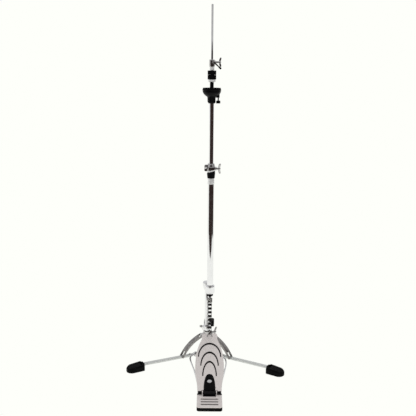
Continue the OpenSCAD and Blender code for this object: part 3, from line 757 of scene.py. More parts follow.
def make_foot(side):
    """Rubber foot: rounded tip, domed top, a groove above the sole and a lip around the leg."""
    reach = 275
    inner = 221
    half = 17.8
    tip = 17.8
    height = 19.3
    corner = rounded([(inner, -half, 4.5), (reach, -half, 0), (reach, half, 0), (inner, half, 4.5)], 4.5, 6)
    inner_corners = [p for p in corner if p.x < inner + 20]
    low_corner = [p for p in inner_corners if p.y < 0]
    high_corner = [p for p in inner_corners if p.y > 0]
    outline = low_corner + arc(reach - tip - 0.2, 0, tip, -90, 90, 32) + high_corner

    def top(x, _y):
        return height - 0.36 * (max(0.0, x - inner - 8) / 10) ** 2

    def under(drop):
        return lambda x, y: top(x, y) - drop

    sections = [(1.4, 0.0), (0.4, 0.4), (0.0, 1.4), (0.0, 3.4), (0.6, 3.8), (0.6, 4.6), (0.0, 5.0)]
    rounding = 4.2
    for k in range(7):
        a = math.pi / 2 * k / 6
        sections.append((rounding * (1 - math.cos(a)), under(rounding * (1 - math.sin(a)))))
    sections += [(7.0, under(-0.1)), (9.5, under(-0.15))]
    shape = Shape().terraces(outline, sections)
    rise = (inner - leg_hinge()[0]) * math.tan(math.radians(LEG_RISE)) + leg_hinge()[1]
    lip = rounded([(-9.2, rise - 5.6), (9.2, rise - 5.6), (9.2, rise + 5.6), (-9.2, rise + 5.6)], 2.2)
    shape.slab([lip], inner - 1.4, inner + 2, 0.8, ALONG_X)
    shape.ripple(0.12, 0.12)
    shape.done("foot_" + side + "_rubber", "foot_" + side, leg_frame(side), sharp=50)


def make_leg(side):
    """Channel leg with side walls that reach past its hinge."""
    wide = 12.4
    high_h = 6.0
    wall = 1.8
    start = 10
    end = 203
    radius, height = leg_hinge()
    place = leg_frame(side) @ Matrix.Translation((radius * MM, 0, height * MM)) @ turn(-LEG_RISE, "Y")
    shape = Shape()
    w, h = wide / 2, high_h / 2
    section = rounded([(-w, -h, 0.5), (-w + wall, -h, 0.5), (-w + wall, h - wall, 0.8),
                       (w - wall, h - wall, 0.8), (w - wall, -h, 0.5), (w, -h, 0.5), (w, h, 1.7), (-w, h,
                                                                                                   1.7)], 0.5, 4)
    shape.slab([section], start, end - 27, 0.25, ALONG_X)
    shape.slab([rectangle(-w, -h, w, -0.8, 0.6)], end - 28, end, 0.4, ALONG_X)
    cheek = arc(0, 0, h, 90, 270, 14) + [Vector((start + 1.5, -h)), Vector((start + 1.5, h))]
    for y in (-w, w - wall):
        shape.slab([cheek], y, y + wall, 0.4, ALONG_Y)
    shape.done("leg_" + side + "_channel", "leg_" + side, place, look="leg_satin")


BRACE_FOOT_R = 88
BRACE_FOOT_Z = 11.4
BRACE_BOW = 9
BRACE_WIDTH = 7


def brace_span():
    """Distance between a brace's two pins, and its tilt."""
    ear_r, ear_z = ear()
    return (math.hypot(BRACE_FOOT_R - ear_r, BRACE_FOOT_Z - ear_z),
            math.atan2(BRACE_FOOT_Z - ear_z, BRACE_FOOT_R - ear_r))


def brace_bow():
    """Centre and radius of a brace's arc, and half the angle it spans in degrees."""
    length = brace_span()[0]
    radius = (length * length / 4 + BRACE_BOW * BRACE_BOW) / (2 * BRACE_BOW)
    return length / 2, BRACE_BOW - radius, radius, math.degrees(math.asin(length / 2 / radius))


def in_leg_plane(points):
    """Outline drawn along a brace, moved to the brace's place in the plane of its leg."""
    spin = Matrix.Rotation(brace_span()[1], 2)
    return list(reversed([spin @ p + Vector(ear()) for p in points]))


def brace_outline():
    """Bowed strap: round eyes joined by an arc."""
    x, z, bow_r, half = brace_bow()
    eye = BRACE_WIDTH / 2 + 0.6
    top = arc(x, z, bow_r + BRACE_WIDTH / 2, 90 + half - 3, 90 - half + 3, 24)
    bottom = arc(x, z, bow_r - BRACE_WIDTH / 2, 90 - half + 3, 90 + half - 3, 24)
    length = brace_span()[0]
    return in_leg_plane(top + arc(length, 0, eye, 60, -150, 14) + bottom + arc(0, 0, eye, -30, -240, 14))


def brace_web():
    """Thin strip along the upper edge of a strap, which joins the pair over their middle."""
    x, z, bow_r, half = brace_bow()
    near = half * 0.76
    far = half * 0.62
    top = arc(x, z, bow_r + 3.3, 90 + near, 90 - far, 16)
    bottom = arc(x, z, bow_r + 2.1, 90 - far, 90 + near, 16)
    return in_leg_plane(top + bottom)


def make_brace(side):
    gap = 6.8
    thick = 2
    shape = Shape()
    loop = brace_outline()
    for y0 in (gap, -gap - thick):
        shape.slab([loop], y0, y0 + thick, 0.45, ALONG_Y)
    shape.slab([brace_web()], -gap - 0.6, gap + 0.6, 0.4, ALONG_Y)
    for s in (-1, 1):
        away = Matrix.Translation((BRACE_FOOT_R, s * (gap + thick), BRACE_FOOT_Z)) @ turn(-90 * s, "X")
        shape.rivet(away, 3.1, 1.7, 2.0, 3.0)
    shape.done("brace_" + side + "_straps", "brace_" + side, leg_frame(side), look="shaded_steel")


def make_pins():
    """Rivets of the leg hinges and of the brace collar."""
    shape = Shape()
    radius, height = leg_hinge()
    for side in LEG_SIDES:
        frame_mm = to_mm(leg_frame(side))
        for s in (-1, 1):
            away = frame_mm @ Matrix.Translation((radius, s * 6.2, height)) @ turn(-90 * s, "X")
            shape.rivet(away, 3.6, 1.5, 2.2, 6.1)
    shape.done("leg_hinge_rivets", "leg_hinge_pins", look="dark_steel")
    shape = Shape()
    radius, height = ear()
    for side in LEG_SIDES:
        frame_mm = to_mm(leg_frame(side))
        for s in (-1, 1):
            away = frame_mm @ Matrix.Translation((radius, s * 8.85, height)) @ turn(-90 * s, "X")
            shape.rivet(away, 3.4, 1.5, 2.2, 8.8)
    shape.done("brace_collar_rivets", "brace_pins", look="dark_steel")


def to_mm(place):
    """Same frame, for points in millimetres."""
    out = place.copy()
    out.translation = place.translation / MM
    return out


def make_collar():
    ear_r, ear_z = ear()
    bolt_z = 74
    bolt_dir = 18
    shape = Shape()
    ring = rounded([(7.25, 58, 0.4), (11.2, 58, 0.9), (12, 60.5, 1.0), (12, 81.5, 1.0), (11.2, 84, 0.9),
                    (7.25, 84, 0.4)], 0.5, 4)
    shape.revolve(ring, segs=96)
    lug = arc(ear_r, ear_z, 4.4, -90, 90, 16)
    lug += [Vector((8, ear_z + 5.2)), Vector((8, ear_z - 5.2))]
    for side in LEG_SIDES:
        spin = to_mm(AT_POST.inverted() @ leg_frame(side))
        shape.slab([lug], -6.4, 6.4, 0.7, spin @ ALONG_Y)
    boss = rounded([(3.1, 8, 0), (6.8, 8, 0), (6, 13.5, 1.5), (6, 17, 0.9), (3.1, 17, 0.3)], 0.4, 4)
    shape.revolve(boss, turn(bolt_dir, "Z") @ shift(0, 0, bolt_z) @ ALONG_X, segs=64)
    shape.done("brace_collar_cast", "brace_collar", AT_POST, look="cast_chrome")
    place = AT_POST @ turn(bolt_dir, "Z") @ Matrix.Translation((0, 0, bolt_z * MM)) @ turn(14, "X")
    wing_bolt("collar_wing_bolt_cast", "collar_wing_bolt", place, 3, 7.5, 24, 4.6, 8, 19, 2.8)


def make_stop_ring():
    z0, z1 = heights("stop_ring")
    bolt_z = 96
    shape = Shape()
    ring = rounded([(7.25, z0, 0.4), (12, z0, 2.6), (12, z1, 3.2), (7.25, z1, 0.4)], 0.5, 6)
    shape.revolve(ring)
    shape.slab([rectangle(-16, -5, -7, 5, 1.6)], z0 + 3, z0 + 13.6, 1.2)
    shape.done("stop_ring_cast", "stop_ring", AT_POST)
    shape = Shape()
    along = shift(0, 0, bolt_z) @ turn(180, "Z") @ ALONG_X
    shape.revolve([(0, 7.5), (1.8, 7.5)] + threaded(2.5, 7.8, 16, 0.9, 0.28) + [(2.5, 16.2), (0, 16.2)],
                  along, segs=40)
    shape.revolve(rounded([(0, 16.1, 0), (4.4, 16.1), (4.4, 18.6), (0, 18.6, 0)], 0.6, 3), along, segs=48)
    square = rounded([(-2.5, -2.5), (2.5, -2.5), (2.5, 2.5), (-2.5, 2.5)], 0.5, 3)
    shape.slab([square], 17, 23, 0.6, along @ turn(45, "Z"))
    shape.done("stop_ring_bolt_square", "stop_ring_bolt", AT_POST)


def make_hub():
    """Hub casting: a coned socket, and three arms with narrow tongues that enter the legs."""
    radius, height = leg_hinge()
    shape = Shape()
    cone = rounded([(7.2, 5, 0.3), (13.4, 3, 0.8), (15, 4.4, 0.8), (15, 12.5, 3), (11.8, 22, 8),
                    (11.5, 31.4, 0.9),
                    (7.2, 31.4, 0.4)], 0.5, 5)
    shape.revolve(cone)
    arm = [(8, -8.6), (40, -8, 2), (46, -7.2, 1.6), (46, 7.2, 1.6), (40, 8, 2), (8, 8.6)]
    web = rounded([(10, 12), (10, 21), (20, 15.5), (38, 12.2), (38, 12)], 0.4, 4)
    tongue = arc(radius, height, 3.4, -90, 90, 14) + [Vector((43, height + 3.4)), Vector((43, height - 3.4))]
    for side in LEG_SIDES:
        spin = to_mm(AT_POST.inverted() @ leg_frame(side))
        shape.slab([rounded(arm, 1, 4)], 3, 12.5, 1.1, spin)
        shape.slab([list(reversed(web))], -2.2, 2.2, 0.8, spin @ ALONG_Y)
        shape.slab([tongue], -3.9, 3.9, 0.5, spin @ ALONG_Y)
    shape.done("base_hub_cast", "base_hub", AT_POST, look="cast_chrome")


def make_head():
    """Frame head: a collar around the lower tube, a deeper socket on the post and a web between them."""
    z0 = mm(low("frame_head").z)
    z1 = mm(high("frame_head").z)
    to_post = POST - PULL
    spin = Matrix.Rotation(math.atan2(to_post.y, to_post.x), 4, "Z")
    apart = mm(to_post.length)
    shape = Shape()

    collar = rounded([(6.6, z0, 0.4), (12.6, z0, 1.2), (14.6, z0 + 3.5, 1.6), (14.6, z1 - 2.2, 1.2),
                      (13.2, z1, 0.9),
                      (9.6, z1, 0.4), (9.6, z0 + 8.2, 0), (6.6, z0 + 8, 0)], 0.5, 5)
    shape.revolve(collar, segs=128)
    socket = rounded([(0, z0, 0), (8.6, z0, 1.4), (10.8, z0 + 3, 2), (13.2, z0 + 12, 8), (14, z1 - 2, 1.2),
                      (12.4, z1, 1.0), (0, z1, 0)], 0.6, 5)
    shape.revolve(socket, to_mm(spin) @ shift(apart, 0, 0), segs=96)
    web = rounded([(6, z0 + 3.6), (apart - 6, z0 + 3.6), (apart - 6, z1 - 3.6), (6, z1 - 3.6)], 3, 4)
    shape.slab([web], -7.6, 7.6, 2.4, spin @ ALONG_Y)
    for z in (z0 + 7, z1 - 6.4):
        shape.slab([rectangle(9, -9.4, apart - 9, 9.4, 2)], z - 1.2, z + 1.2, 0.9, spin)
    shape.done("frame_head_cast", "frame_head", AT_PULL, look="chrome")
    screw_z = mm(middle("frame_set_screw").z)
    cup = rounded([(0, 10, 0), (2.45, 10, 0.2), (2.45, 14.3, 0.4), (1.4, 14.3, 0.2), (1.4, 12.4, 0),
                   (0, 12.4, 0)], 0.2, 3)
    Shape().revolve(cup, shift(0, 0, screw_z) @ ALONG_Y, segs=40).done(
        "frame_set_screw_socket", "frame_set_screw", AT_PULL, look="dark_steel")
    bush_top = mm(high("head_bushing").z)
    bush = rounded([(3.1, z0), (6.45, z0), (6.45, bush_top), (3.1, bush_top)], 0.4, 3)
    Shape().revolve(bush).done("head_bushing_nylon", "head_bushing", AT_PULL)


# ---------------------------------------------------------------- chain and pull block

def make_bumper():
    z0, z1 = heights("rod_bumper")
    wide = half_width("rod_bumper")
    neck = 4.6
    disc = z0 + 3.6
    body = rounded([(3.02, z0, 0.2), (neck, z0, 0.6), (neck, disc, 0.5), (wide, disc + 0.1, 1.2),
                    (wide, z1, 1.6),
                    (3.02, z1, 0.3)], 0.3, 5)
    Shape().revolve(body).ripple(0.2, 0.05).done("rod_bumper_rubber", "rod_bumper", AT_PULL)


CHAIN_PITCH = 12.7
CHAIN_LINKS = 8
PLATE_T = 1.3
PLATE_H = 9.6


def link_loop(height):
    """Figure-eight outline of a link plate, with its long way along Y and its first pin at the middle."""
    r = height / 2
    waist = r * 0.68
    points = arc(0, 0, r, 40, 320, 22)
    points += [Vector((CHAIN_PITCH * 0.42, -waist)), Vector((CHAIN_PITCH * 0.58, -waist))]
    points += arc(CHAIN_PITCH, 0, r, -140, 140, 22)
    points += [Vector((CHAIN_PITCH * 0.58, waist)), Vector((CHAIN_PITCH * 0.42, waist))]
    return points


def make_chain():
    """Roller chain, link by link, between the clevis and the toe of the pedal."""
    top = mm(high("chain_inner_links").z) - PLATE_H / 2
    outer_half = half_width("chain_outer_links")
    inner_half = half_width("chain_inner_links")
    down = turn(90, "Y")
    inner = Shape()
    outer = Shape()
    plate_in = link_loop(PLATE_H - 0.2)
    plate_out = link_loop(PLATE_H - 0.9)
    for k in range(CHAIN_LINKS):
        here = shift(0, 0, top - k * CHAIN_PITCH) @ down
        if k % 2 == 0:
            for x in (-inner_half + 0.05, inner_half - PLATE_T - 0.05 + 0.1):
                inner.slab([plate_in], x, x + PLATE_T - 0.1, 0.25, here)
        else:
            for x in (-outer_half + 0.75, outer_half - PLATE_T - 0.65):
                outer.slab([plate_out], x, x + PLATE_T - 0.1, 0.3, here)
    gap = inner_half - PLATE_T
    roller = rounded([(1.95, -gap + 0.1, 0.1), (3.9, -gap + 0.1, 0.5), (3.9, gap - 0.1, 0.5),
                      (1.95, gap - 0.1, 0.1)],
                     0.3, 4)
    pin = [(0, -outer_half), (1.2, -outer_half + 0.05), (1.75, -outer_half + 0.35), (1.9, -outer_half + 0.8),
           (1.9, outer_half - 0.8), (1.75, outer_half - 0.35), (1.2, outer_half - 0.05), (0, outer_half)]
    for k in range(CHAIN_LINKS + 1):
        across = shift(0, 0, top - k * CHAIN_PITCH) @ ALONG_X
        outer.revolve(pin, across, segs=32)
        if k < CHAIN_LINKS:
            inner.revolve(roller, across, segs=48)
    inner.done("chain_rollers_and_inner_plates", "chain_inner_links", AT_PULL, look="chain_steel")
    outer.done("chain_pins_and_outer_plates", "chain_outer_links", AT_PULL, look="chain_steel")


def make_clevis():
    z0, z1 = heights("chain_clevis")
    slot = z0 + 9.8
    loop = rounded([(-7.6, z0, 3.2), (-4.5, z0, 0.8), (-4.5, slot, 1.6), (4.5, slot, 1.6), (4.5, z0, 0.8),
                    (7.6, z0, 3.2),
                    (7.6, z1, 2.2), (-7.6, z1, 2.2)], 1, 5)
    shape = Shape().slab([loop], -5, 5, 1.1, ALONG_Y)
    shape.revolve(rounded([(3.02, z1 - 1), (4.4, z1 - 1), (4.4, z1 + 1.4), (3.02, z1 + 1.4)], 0.4, 3))
    shape.done("chain_clevis_cast", "chain_clevis", AT_PULL)


# ---------------------------------------------------------------- footboard

def board_edge(s):
    """Half width of the board at a distance from the hinge."""
    if s < 8:
        return HEEL_HALF
    if s < BELLY_S:
        blend = 0.5 - 0.5 * math.cos(math.pi * (s - 8) / (BELLY_S - 8))
        return HEEL_HALF + (BELLY_HALF - HEEL_HALF) * blend
    fall = min(1.0, (s - BELLY_S) / (TOE_S - BELLY_S)) ** 2.63
    corner = min(1.0, max(0.0, (s - BOARD_LEN) / 7 + 1))
    return BELLY_HALF - (BELLY_HALF - TOE_HALF) * fall - 7 * (1 - math.sqrt(1 - corner * corner))


def board_outline(start):
    """Anticlockwise outline of the board, from its hinge end to its notched toe."""
    stations = [start + (BOARD_LEN - 8 - start) * k / 60 for k in range(61)]
    stations += [BOARD_LEN - 7 + 7 * math.sin(math.pi / 2 * k / 8) for k in range(9)]
    right = [Vector((board_edge(s), s)) for s in stations]
    left = [Vector((-p.x, p.y)) for p in reversed(right)]
    notch = rounded([(12, BOARD_LEN, 0), (7.5, BOARD_LEN, 1.6), (7.5, BOARD_LEN - 6, 1.8),
                     (-7.5, BOARD_LEN - 6, 1.8),
                     (-7.5, BOARD_LEN, 1.6), (-12, BOARD_LEN, 0)], 1.2, 4)
    corner = [Vector((22, 6)), Vector((22, start)), Vector((HEEL_HALF - 1.5, start))]
    return corner + right[1:] + notch + left[:-1] + [Vector((-p.x, p.y)) for p in reversed(corner)]


def make_board():
    outline = board_outline(1.5)
    turns = [math.pi / 2 * k / 4 for k in range(5)]
    crown = [(1.3 * (1 - math.sin(a)), 2.3 + 1.3 * math.cos(a)) for a in turns]
    sections = crown + [(0.0, -3.0), (0.3, -3.4), (1.9, -3.4), (2.2, -3.1), (2.4, 0.3), (2.8, 0.6)]
    shape = Shape().terraces(outline, sections)
    for x in (-16, 0, 16):
        shape.slab([rectangle(x - 1.1, 20, x + 1.1, 226, 0.9)], -2.6, 0.8, 0.6)
    for s in (60, 120, 180):
        half = board_edge(s) - 3.4
        shape.slab([rectangle(-half, s - 1.1, half, s + 1.1, 0.9)], -2.4, 0.7, 0.6)
    lug = arc(0, 0, 3.5, 90, 280, 20)
    lug += [Vector((12, -2.6)), Vector((15, 0.8)), Vector((15, 2.6)), Vector((6, 3.2))]
    shape.done("footboard_cast", "footboard", AT_BOARD, sharp=40)
    shape = Shape()
    for x in (-27, 27):
        shape.slab([lug], x - 5.1, x + 5.1, 0.7, ALONG_X)
    shape.done("footboard_lugs", "footboard", AT_BOARD, look="cast_black")


def arch(foot, crest, half):
    """Raised strip like a long arch: slim legs and a thicker crown at the far end."""
    arm = 3.2
    crown = 7.4
    steps = 48
    outer = []
    inner = []
    for k in range(steps + 1):
        a = math.pi * k / steps
        outer.append(Vector((half * math.cos(a), foot + (crest - foot) * math.sin(a))))
        inner.append(Vector(((half - arm) * math.cos(a), foot + (crest - crown - foot) * math.sin(a))))
    return outer + list(reversed(inner))


def make_grips():
    shape = Shape()
    for foot, crest, half in ((143, 206, 35), (105, 166, 27.3), (61.5, 125, 21.3)):
        shape.slab([arch(foot, crest, half)], 3.1, 4.35, 0.35)
    shape.done("footboard_grips_moulded", "footboard_grips", AT_BOARD)


def insert_reach(s):
    """Half width of the black strip at a distance from the hinge."""
    t = min(1.0, max(0.0, (s - 5.4) / 64))
    return 16.7 * (1 - t ** 2.2) ** 0.385


def make_insert():
    stations = [5.4 + 64 * (1 - (1 - k / 30) ** 2) for k in range(31)]
    side = [Vector((insert_reach(s), s)) for s in stations]
    outline = side + [Vector((-p.x, p.y)) for p in reversed(side[:-1])]
    shape = Shape().slab([outline], 2.9, 4.3, 0.35)
    for k in range(14):
        s = 9.5 + k * 4.1
        reach = insert_reach(s) - 2.4
        if reach > 3:
            shape.slab([rectangle(-reach, s - 0.75, reach, s + 0.75, 0.6)], 4.0, 4.65, 0.22)
    shape.slab([rectangle(-16.6, 4.9, 16.6, 6.6, 0.4)], 0.4, 4.3, 0.3)
    shape.done("footboard_insert_ribbed", "footboard_insert", AT_BOARD)
    stud = mm((AT_BOARD.inverted() @ middle("footboard_badge")).y)
    dome = [(6.5, 4.1), (6.5, 5.0), (6.1, 5.4), (5.5, 5.5), (5.1, 5.25), (4.6, 5.25), (3.6, 5.45),
            (2.2, 5.6), (0, 5.65)]
    Shape().revolve([(0, 4.1)] + dome, shift(0, stud, 0), segs=72).done(
        "footboard_stud_turned", "footboard_badge", AT_BOARD)
    shape = Shape()
    for x in (-7, 7):
        shape.rivet(shift(x, BOARD_LEN - 14, BOARD_TOP), 3.2, 1.3, 2, 7)
    shape.done("toe_rivets_domed", "toe_rivets", AT_BOARD)


# ---------------------------------------------------------------- heel

def make_heel():
    x0, x1 = mm(low("heel_plate").x - PULL.x), mm(high("heel_plate").x - PULL.x)
    y0 = mm(low("heel_plate").y)
    at = Matrix.Translation((PULL.x, 0, 0))
    hinge_y = mm(HINGE.y)
    line = hinge_y - 5.6
    end = hinge_y - 1
    outline = rounded([(x0, y0, 7), (x1, y0, 7), (x1, line, 1), (21.1, line, 0.4), (21.1, end, 0.6),
                       (-21.1, end, 0.6),
                       (-21.1, line, 0.4), (x0, line, 1)], 1, 5)
    holes = []
    for k in range(3):
        centre = y0 + 14.8 + 14 * k
        holes.append(list(reversed(rectangle(-24.5, centre - 3.2, 24.5, centre + 3.2, 3.1, 8))))
    shape = Shape().slab([outline] + holes, 10.45, 13.6, 0.7)
    knuckle = arc(hinge_y, mm(HINGE.z), 4.6, -60, 180, 20)
    knuckle += [Vector((hinge_y - 9, 12.2)), Vector((hinge_y, 12.2))]
    for x in (-19.7, 19.7):
        shape.slab([knuckle], x - 1.35, x + 1.35, 0.4, ALONG_X)
    shape.done("heel_plate_cast", "heel_plate", at, sharp=40)
    pad_end = mm(high("heel_pad").y) + 12
    pad = rounded([(x0, y0, 7), (x1, y0, 7), (x1, pad_end, 4), (x0, pad_end, 4)], 4, 6)
    shape = Shape().slab([pad], 0, 10.4, 0.8)
    for k in range(3):
        centre = y0 + 14.8 + 14 * k
        for dx in (-18, 0, 18):
            shape.slab([rectangle(dx - 8, centre - 0.5, dx + 8, centre + 0.5, 0.4)], 10.2, 11.0, 0.2)
    shape.ripple(0.15, 0.08).done("heel_pad_rubber", "heel_pad", at)
    half = half_width("heel_block")
    side = arc(hinge_y, mm(HINGE.z), 4.6, -75, 60, 16)
    side += rounded([(hinge_y + 0.5, 22, 0), (hinge_y - 2, 21.4, 1.5), (hinge_y - 13.4, 20.4, 3.5),
                     (hinge_y - 16, 13.7, 0.5),
                     (hinge_y, 13.7, 0)], 1, 4)[1:]
    Shape().slab([side], -half + 0.1, half - 0.1, 0.8, ALONG_X).done("heel_block_moulded", "heel_block", at)
    pin = rounded([(0, -32.6, 0), (2.5, -32.6, 0.6), (2.5, 32.6, 0.6), (0, 32.6, 0)], 0.5, 3)
    hinge = Matrix.Translation(HINGE)
    Shape().revolve(pin, ALONG_X, segs=48).done("hinge_pin_turned", "hinge_pin", hinge, look="chain_steel")


def make_radius_rods():
    """Bent wires that hold the heel at its distance from the hub."""
    shape = Shape()
    shoulders = {"left": [(-57.5, -43, 9), (-60, -18, 13), (-50, -4, 16)],
                 "right": [(52, -50, 10), (46, -22, 13), (28, -8, 16)]}
    pull = Vector((mm(PULL.x), mm(PULL.y), 0))
    for side, s in (("left", -1), ("right", 1)):
        path = [(s * x, y, z) for x, y, z in ((28, -284, 6), (31, -250, 6), (33, -200, 6), (37, -160, 7), (46, -100, 8))]
        hook = to_mm(leg_frame(side)) @ Vector((42, 0, 16)) - pull
        path += shoulders[side] + [tuple(hook), (hook.x, hook.y, 6)]
        shape.sweep(curve_through(path, 10), 2.5, segs=24)
    shape.done("radius_rods_bent", "radius_rods", AT_PULL)


# ---------------------------------------------------------------- cymbal seat and clutch

def felt_ring(shape, outer, inner, z0, z1):
    section = rounded([(inner, z0, 1.0), (outer, z0, 0.8), (outer, z1, 0.8), (inner, z1, 1.0)], 1, 6)
    fine = []
    for a, b in zip(section, section[1:] + section[:1]):
        parts = max(1, int((b - a).length / 0.8))
        fine += [a.lerp(b, k / parts) for k in range(parts)]
    shape.revolve(fine, segs=160)


def make_seat():
    body_z = mm(low("seat_body").z)
    bowl = 822
    top = mm(high("seat_body").z)
    stem = rounded([(7.15, body_z, 0.3), (9.4, body_z, 0.6), (11.3, body_z + 3, 0.9), (11.3, bowl, 1.2),
                    (15.2, bowl + 2.4),
                    (20.1, bowl + 6, 4), (23.6, bowl + 9.8, 4), (26, bowl + 14, 3), (27, top, 0.8), (5.25,
                                                                                                     top, 0.3),
                    (5.25, bowl + 1, 0), (4.2, bowl, 0), (4.2, body_z + 16, 0), (7.15, body_z + 16,
                                                                                 0)], 1.5, 4)
    shape = Shape().revolve(stem, segs=128)
    for a in (60, 120, 180, 240, 300):
        fin = rounded([(10.6, body_z + 4), (12.2, body_z + 4), (12.6, bowl), (17.5, bowl + 4.6),
                       (10.6, bowl + 4.6)], 0.5, 3)
        shape.slab([fin], -0.9, 0.9, 0.4, turn(a, "Z") @ ALONG_Y)
    screw_x = mm(middle("tilt_screw").x - PULL.x)
    lug = rounded([(2.2, bowl - 1.4), (3.8, bowl - 1.4), (3.8, bowl + 10), (2.2, bowl + 10)], 0.5, 3)
    shape.revolve(lug, shift(screw_x, 0, 0), segs=48)
    shape.slab([rectangle(9, -3, screw_x - 2.6, 3, 0.8)], bowl - 1, bowl + 7, 0.6)
    shape.done("seat_body_moulded", "seat_body", AT_PULL)
    z1 = heights("tilt_plate")[1]
    z0 = z1 - 4
    plate = rounded([(8.4, z0, 0.4), (27.5, z0, 1.2), (27.5, z1, 1.4), (8.4, z1, 0.4)], 0.5, 5)
    shape = Shape().revolve(plate, segs=128)
    hinge = joint("seat_tilt")["pos_m"]
    along = AT_PULL.inverted() @ Vector(hinge)
    barrel = rounded([(0, -5.8, 0), (2.4, -5.8), (2.4, 5.8), (0, 5.8, 0)], 0.4, 3)
    shape.revolve(barrel, shift(mm(along.x), mm(along.y), mm(along.z)) @ ALONG_Y, segs=40)
    shape.done("tilt_plate_moulded", "tilt_plate", AT_PULL)
    z0, z1 = heights("seat_felt")
    shape = Shape()
    felt_ring(shape, 26.2, 8.6, z0 + 0.1, z1 - 0.2)
    shape.ripple(0.35, 0.2).done("seat_felt_pressed", "seat_felt", AT_PULL, sharp=80)
    z0, z1 = heights("seat_sleeve")
    edge = mm(low("clutch_nut").z) - 16.5
    sleeve = [(3.6, z0), (5.2, z0), (5.2, edge - 0.2)] + threaded(5.65, edge, z1 - 1.2, 1.5, 0.35)
    sleeve += [(5.0, z1 - 0.3), (4.6, z1), (3.6, z1)]
    Shape().revolve(sleeve, segs=72).done("seat_sleeve_ribbed", "seat_sleeve", AT_PULL)
    z0, z1 = heights("tilt_screw")
    knob = rounded([(0, z0, 0), (6.2, z0, 1.0), (6.2, z0 + 7.2, 1.0), (3.2, z0 + 8.5, 0.5),
                    (2.1, z0 + 8.5, 0)], 0.6, 4)
    shaft = threaded(2.1, z0 + 8.8, z1 - 0.8, 1.0, 0.25) + [(1.5, z1), (0, z1)]
    Shape().revolve(knob + shaft, shift(screw_x, 0, 0), segs=96, flutes=12, depth=0.7,
                    flute_r=5.6).done("tilt_screw_fluted", "tilt_screw", AT_PULL)


def make_clutch():
    z0, z1 = heights("clutch_nut")
    nut = rounded([(5.05, z0, 0.3), (8.8, z0, 1.2), (11, z0 + 1.6, 1.2), (11, z1, 1.0), (5.05, z1, 0.3)],
                  0.4, 4)
    Shape().revolve(nut, segs=120).done(
        "clutch_nut_turned", "clutch_nut", AT_PULL, look="satin_ring")
    z0, z1 = heights("clutch_spindle")
    side = threaded(4.98, z0 + 0.4, z1 - 0.4, 1.0, 0.35)
    Shape().revolve([(3.1, z0), (4.3, z0)] + side + [(4.3, z1), (3.1, z1)], segs=64).done(
        "clutch_spindle_threaded", "clutch_spindle", AT_PULL)
    z0, z1 = heights("clutch_felts")
    thick = (z1 - z0 - 0.4) / 2
    shape = Shape()
    for k in (0, 1):
        start = z0 + k * (thick + 0.4)
        felt_ring(shape, 12.4, 5.2, start + 0.1, start + thick - 0.1)
    shape.ripple(0.4, 0.2).done("clutch_felts_pressed", "clutch_felts", AT_PULL, sharp=80)
    z0, z1 = heights("clutch_neck_nut")
    neck = rounded([(5.05, z0), (6.8, z0, 0.8), (6.8, z1, 0.8), (5.05, z1)], 0.3, 3)
    Shape().revolve(neck, segs=96, flutes=16, depth=0.25, flute_r=6.7).done(
        "clutch_neck_nut_turned", "clutch_neck_nut", AT_PULL, look="satin_ring")
    z0, z1 = heights("clutch_body")
    body = rounded([(3.12, z0, 0.3), (7.3, z0, 0.6), (8.3, z0 + 1.4, 0.8), (8.3, z1 - 2.0, 1.0),
                    (7, z1, 0.9), (3.12, z1, 0.3)],
                   0.4, 4)
    wing_z = 921.5
    shape = Shape().revolve(body, segs=96)
    boss = rounded([(3.06, 3, 0), (5.2, 3, 0), (4.4, 9.5, 1.2), (4.4, 11.5, 0.6), (3.06, 11.5, 0.2)], 0.3, 4)
    shape.revolve(boss, shift(0, 0, wing_z) @ ALONG_X, segs=56)
    shape.slab([rectangle(1.1, -14.3, 7.9, -4, 1.4)], 918.6, 925.4, 0.9)
    shape.done("clutch_body_cast", "clutch_body", AT_PULL, look="cast_chrome")
    place = AT_PULL @ Matrix.Translation((0, 0, wing_z * MM)) @ turn(15, "X")
    wing_bolt("clutch_wing_screw_cast", "clutch_wing_screw", place, 3, 3.6, 19.6, 3.8, 6.5, 13.5, 2.2)
    lever = joint("lever_lift")
    pivot = Matrix.Translation(Vector(lever["pos_m"])) @ turn(42, "Y")
    arm = arc(0, 0, 3.2, 60, 300, 18) + [Vector((20, -1.6)), Vector((20, 1.6))]
    shape = Shape().slab([arm], -1.2, 1.2, 0.4, ALONG_Y)
    shape.revolve([(0, -5), (1.2, -5), (1.2, 1.1), (0, 1.1)], ALONG_Y, segs=32)
    shape.rivet(turn(90, "X") @ shift(0, 0, 1.1), 2.4, 0.8, 1.1, 2)
    shape.done("clutch_lever_stamped", "clutch_lever", pivot, look="shaded_steel")
    tip = rectangle(20, -2.6, 29, 2.6, 1.6, 5)
    Shape().slab([tip], -2.2, 2.2, 1.0, ALONG_Y).done("lever_tip_dipped", "lever_tip", pivot)


make_tubes()
make_receiver()
make_spring()
make_lock()
for side in LEG_SIDES:
    make_foot(side)
    make_leg(side)
    make_brace(side)
make_pins()
make_collar()
make_stop_ring()
make_hub()
make_head()
make_bumper()
make_clevis()
make_chain()
make_board()
make_grips()
make_insert()
make_heel()
make_radius_rods()
make_seat()
make_clutch()
cast_copy("toe_bracket_cast", "toe_bracket", 0.35, 2)


# ---------------------------------------------------------------- stage, light and camera

BACKDROP = (0.991, 1.0, 0.956)


def make_floor():
    """Wide floor that glows at the backdrop's own value, so no horizon shows."""
    bpy.ops.mesh.primitive_plane_add(size=400, location=(0, 0, -0.0004))
    floor = bpy.context.object
    floor.name = "pale_floor"
    m = Material("pale_floor", Roughness=1.0, Specular_IOR_Level=0.0)
    m.shader.inputs["Base Color"].default_value = (0, 0, 0, 1)
    m.shader.inputs["Emission Color"].default_value = (*BACKDROP, 1)
    m.shader.inputs["Emission Strength"].default_value = 1.0
    floor.data.materials.append(m.mat)


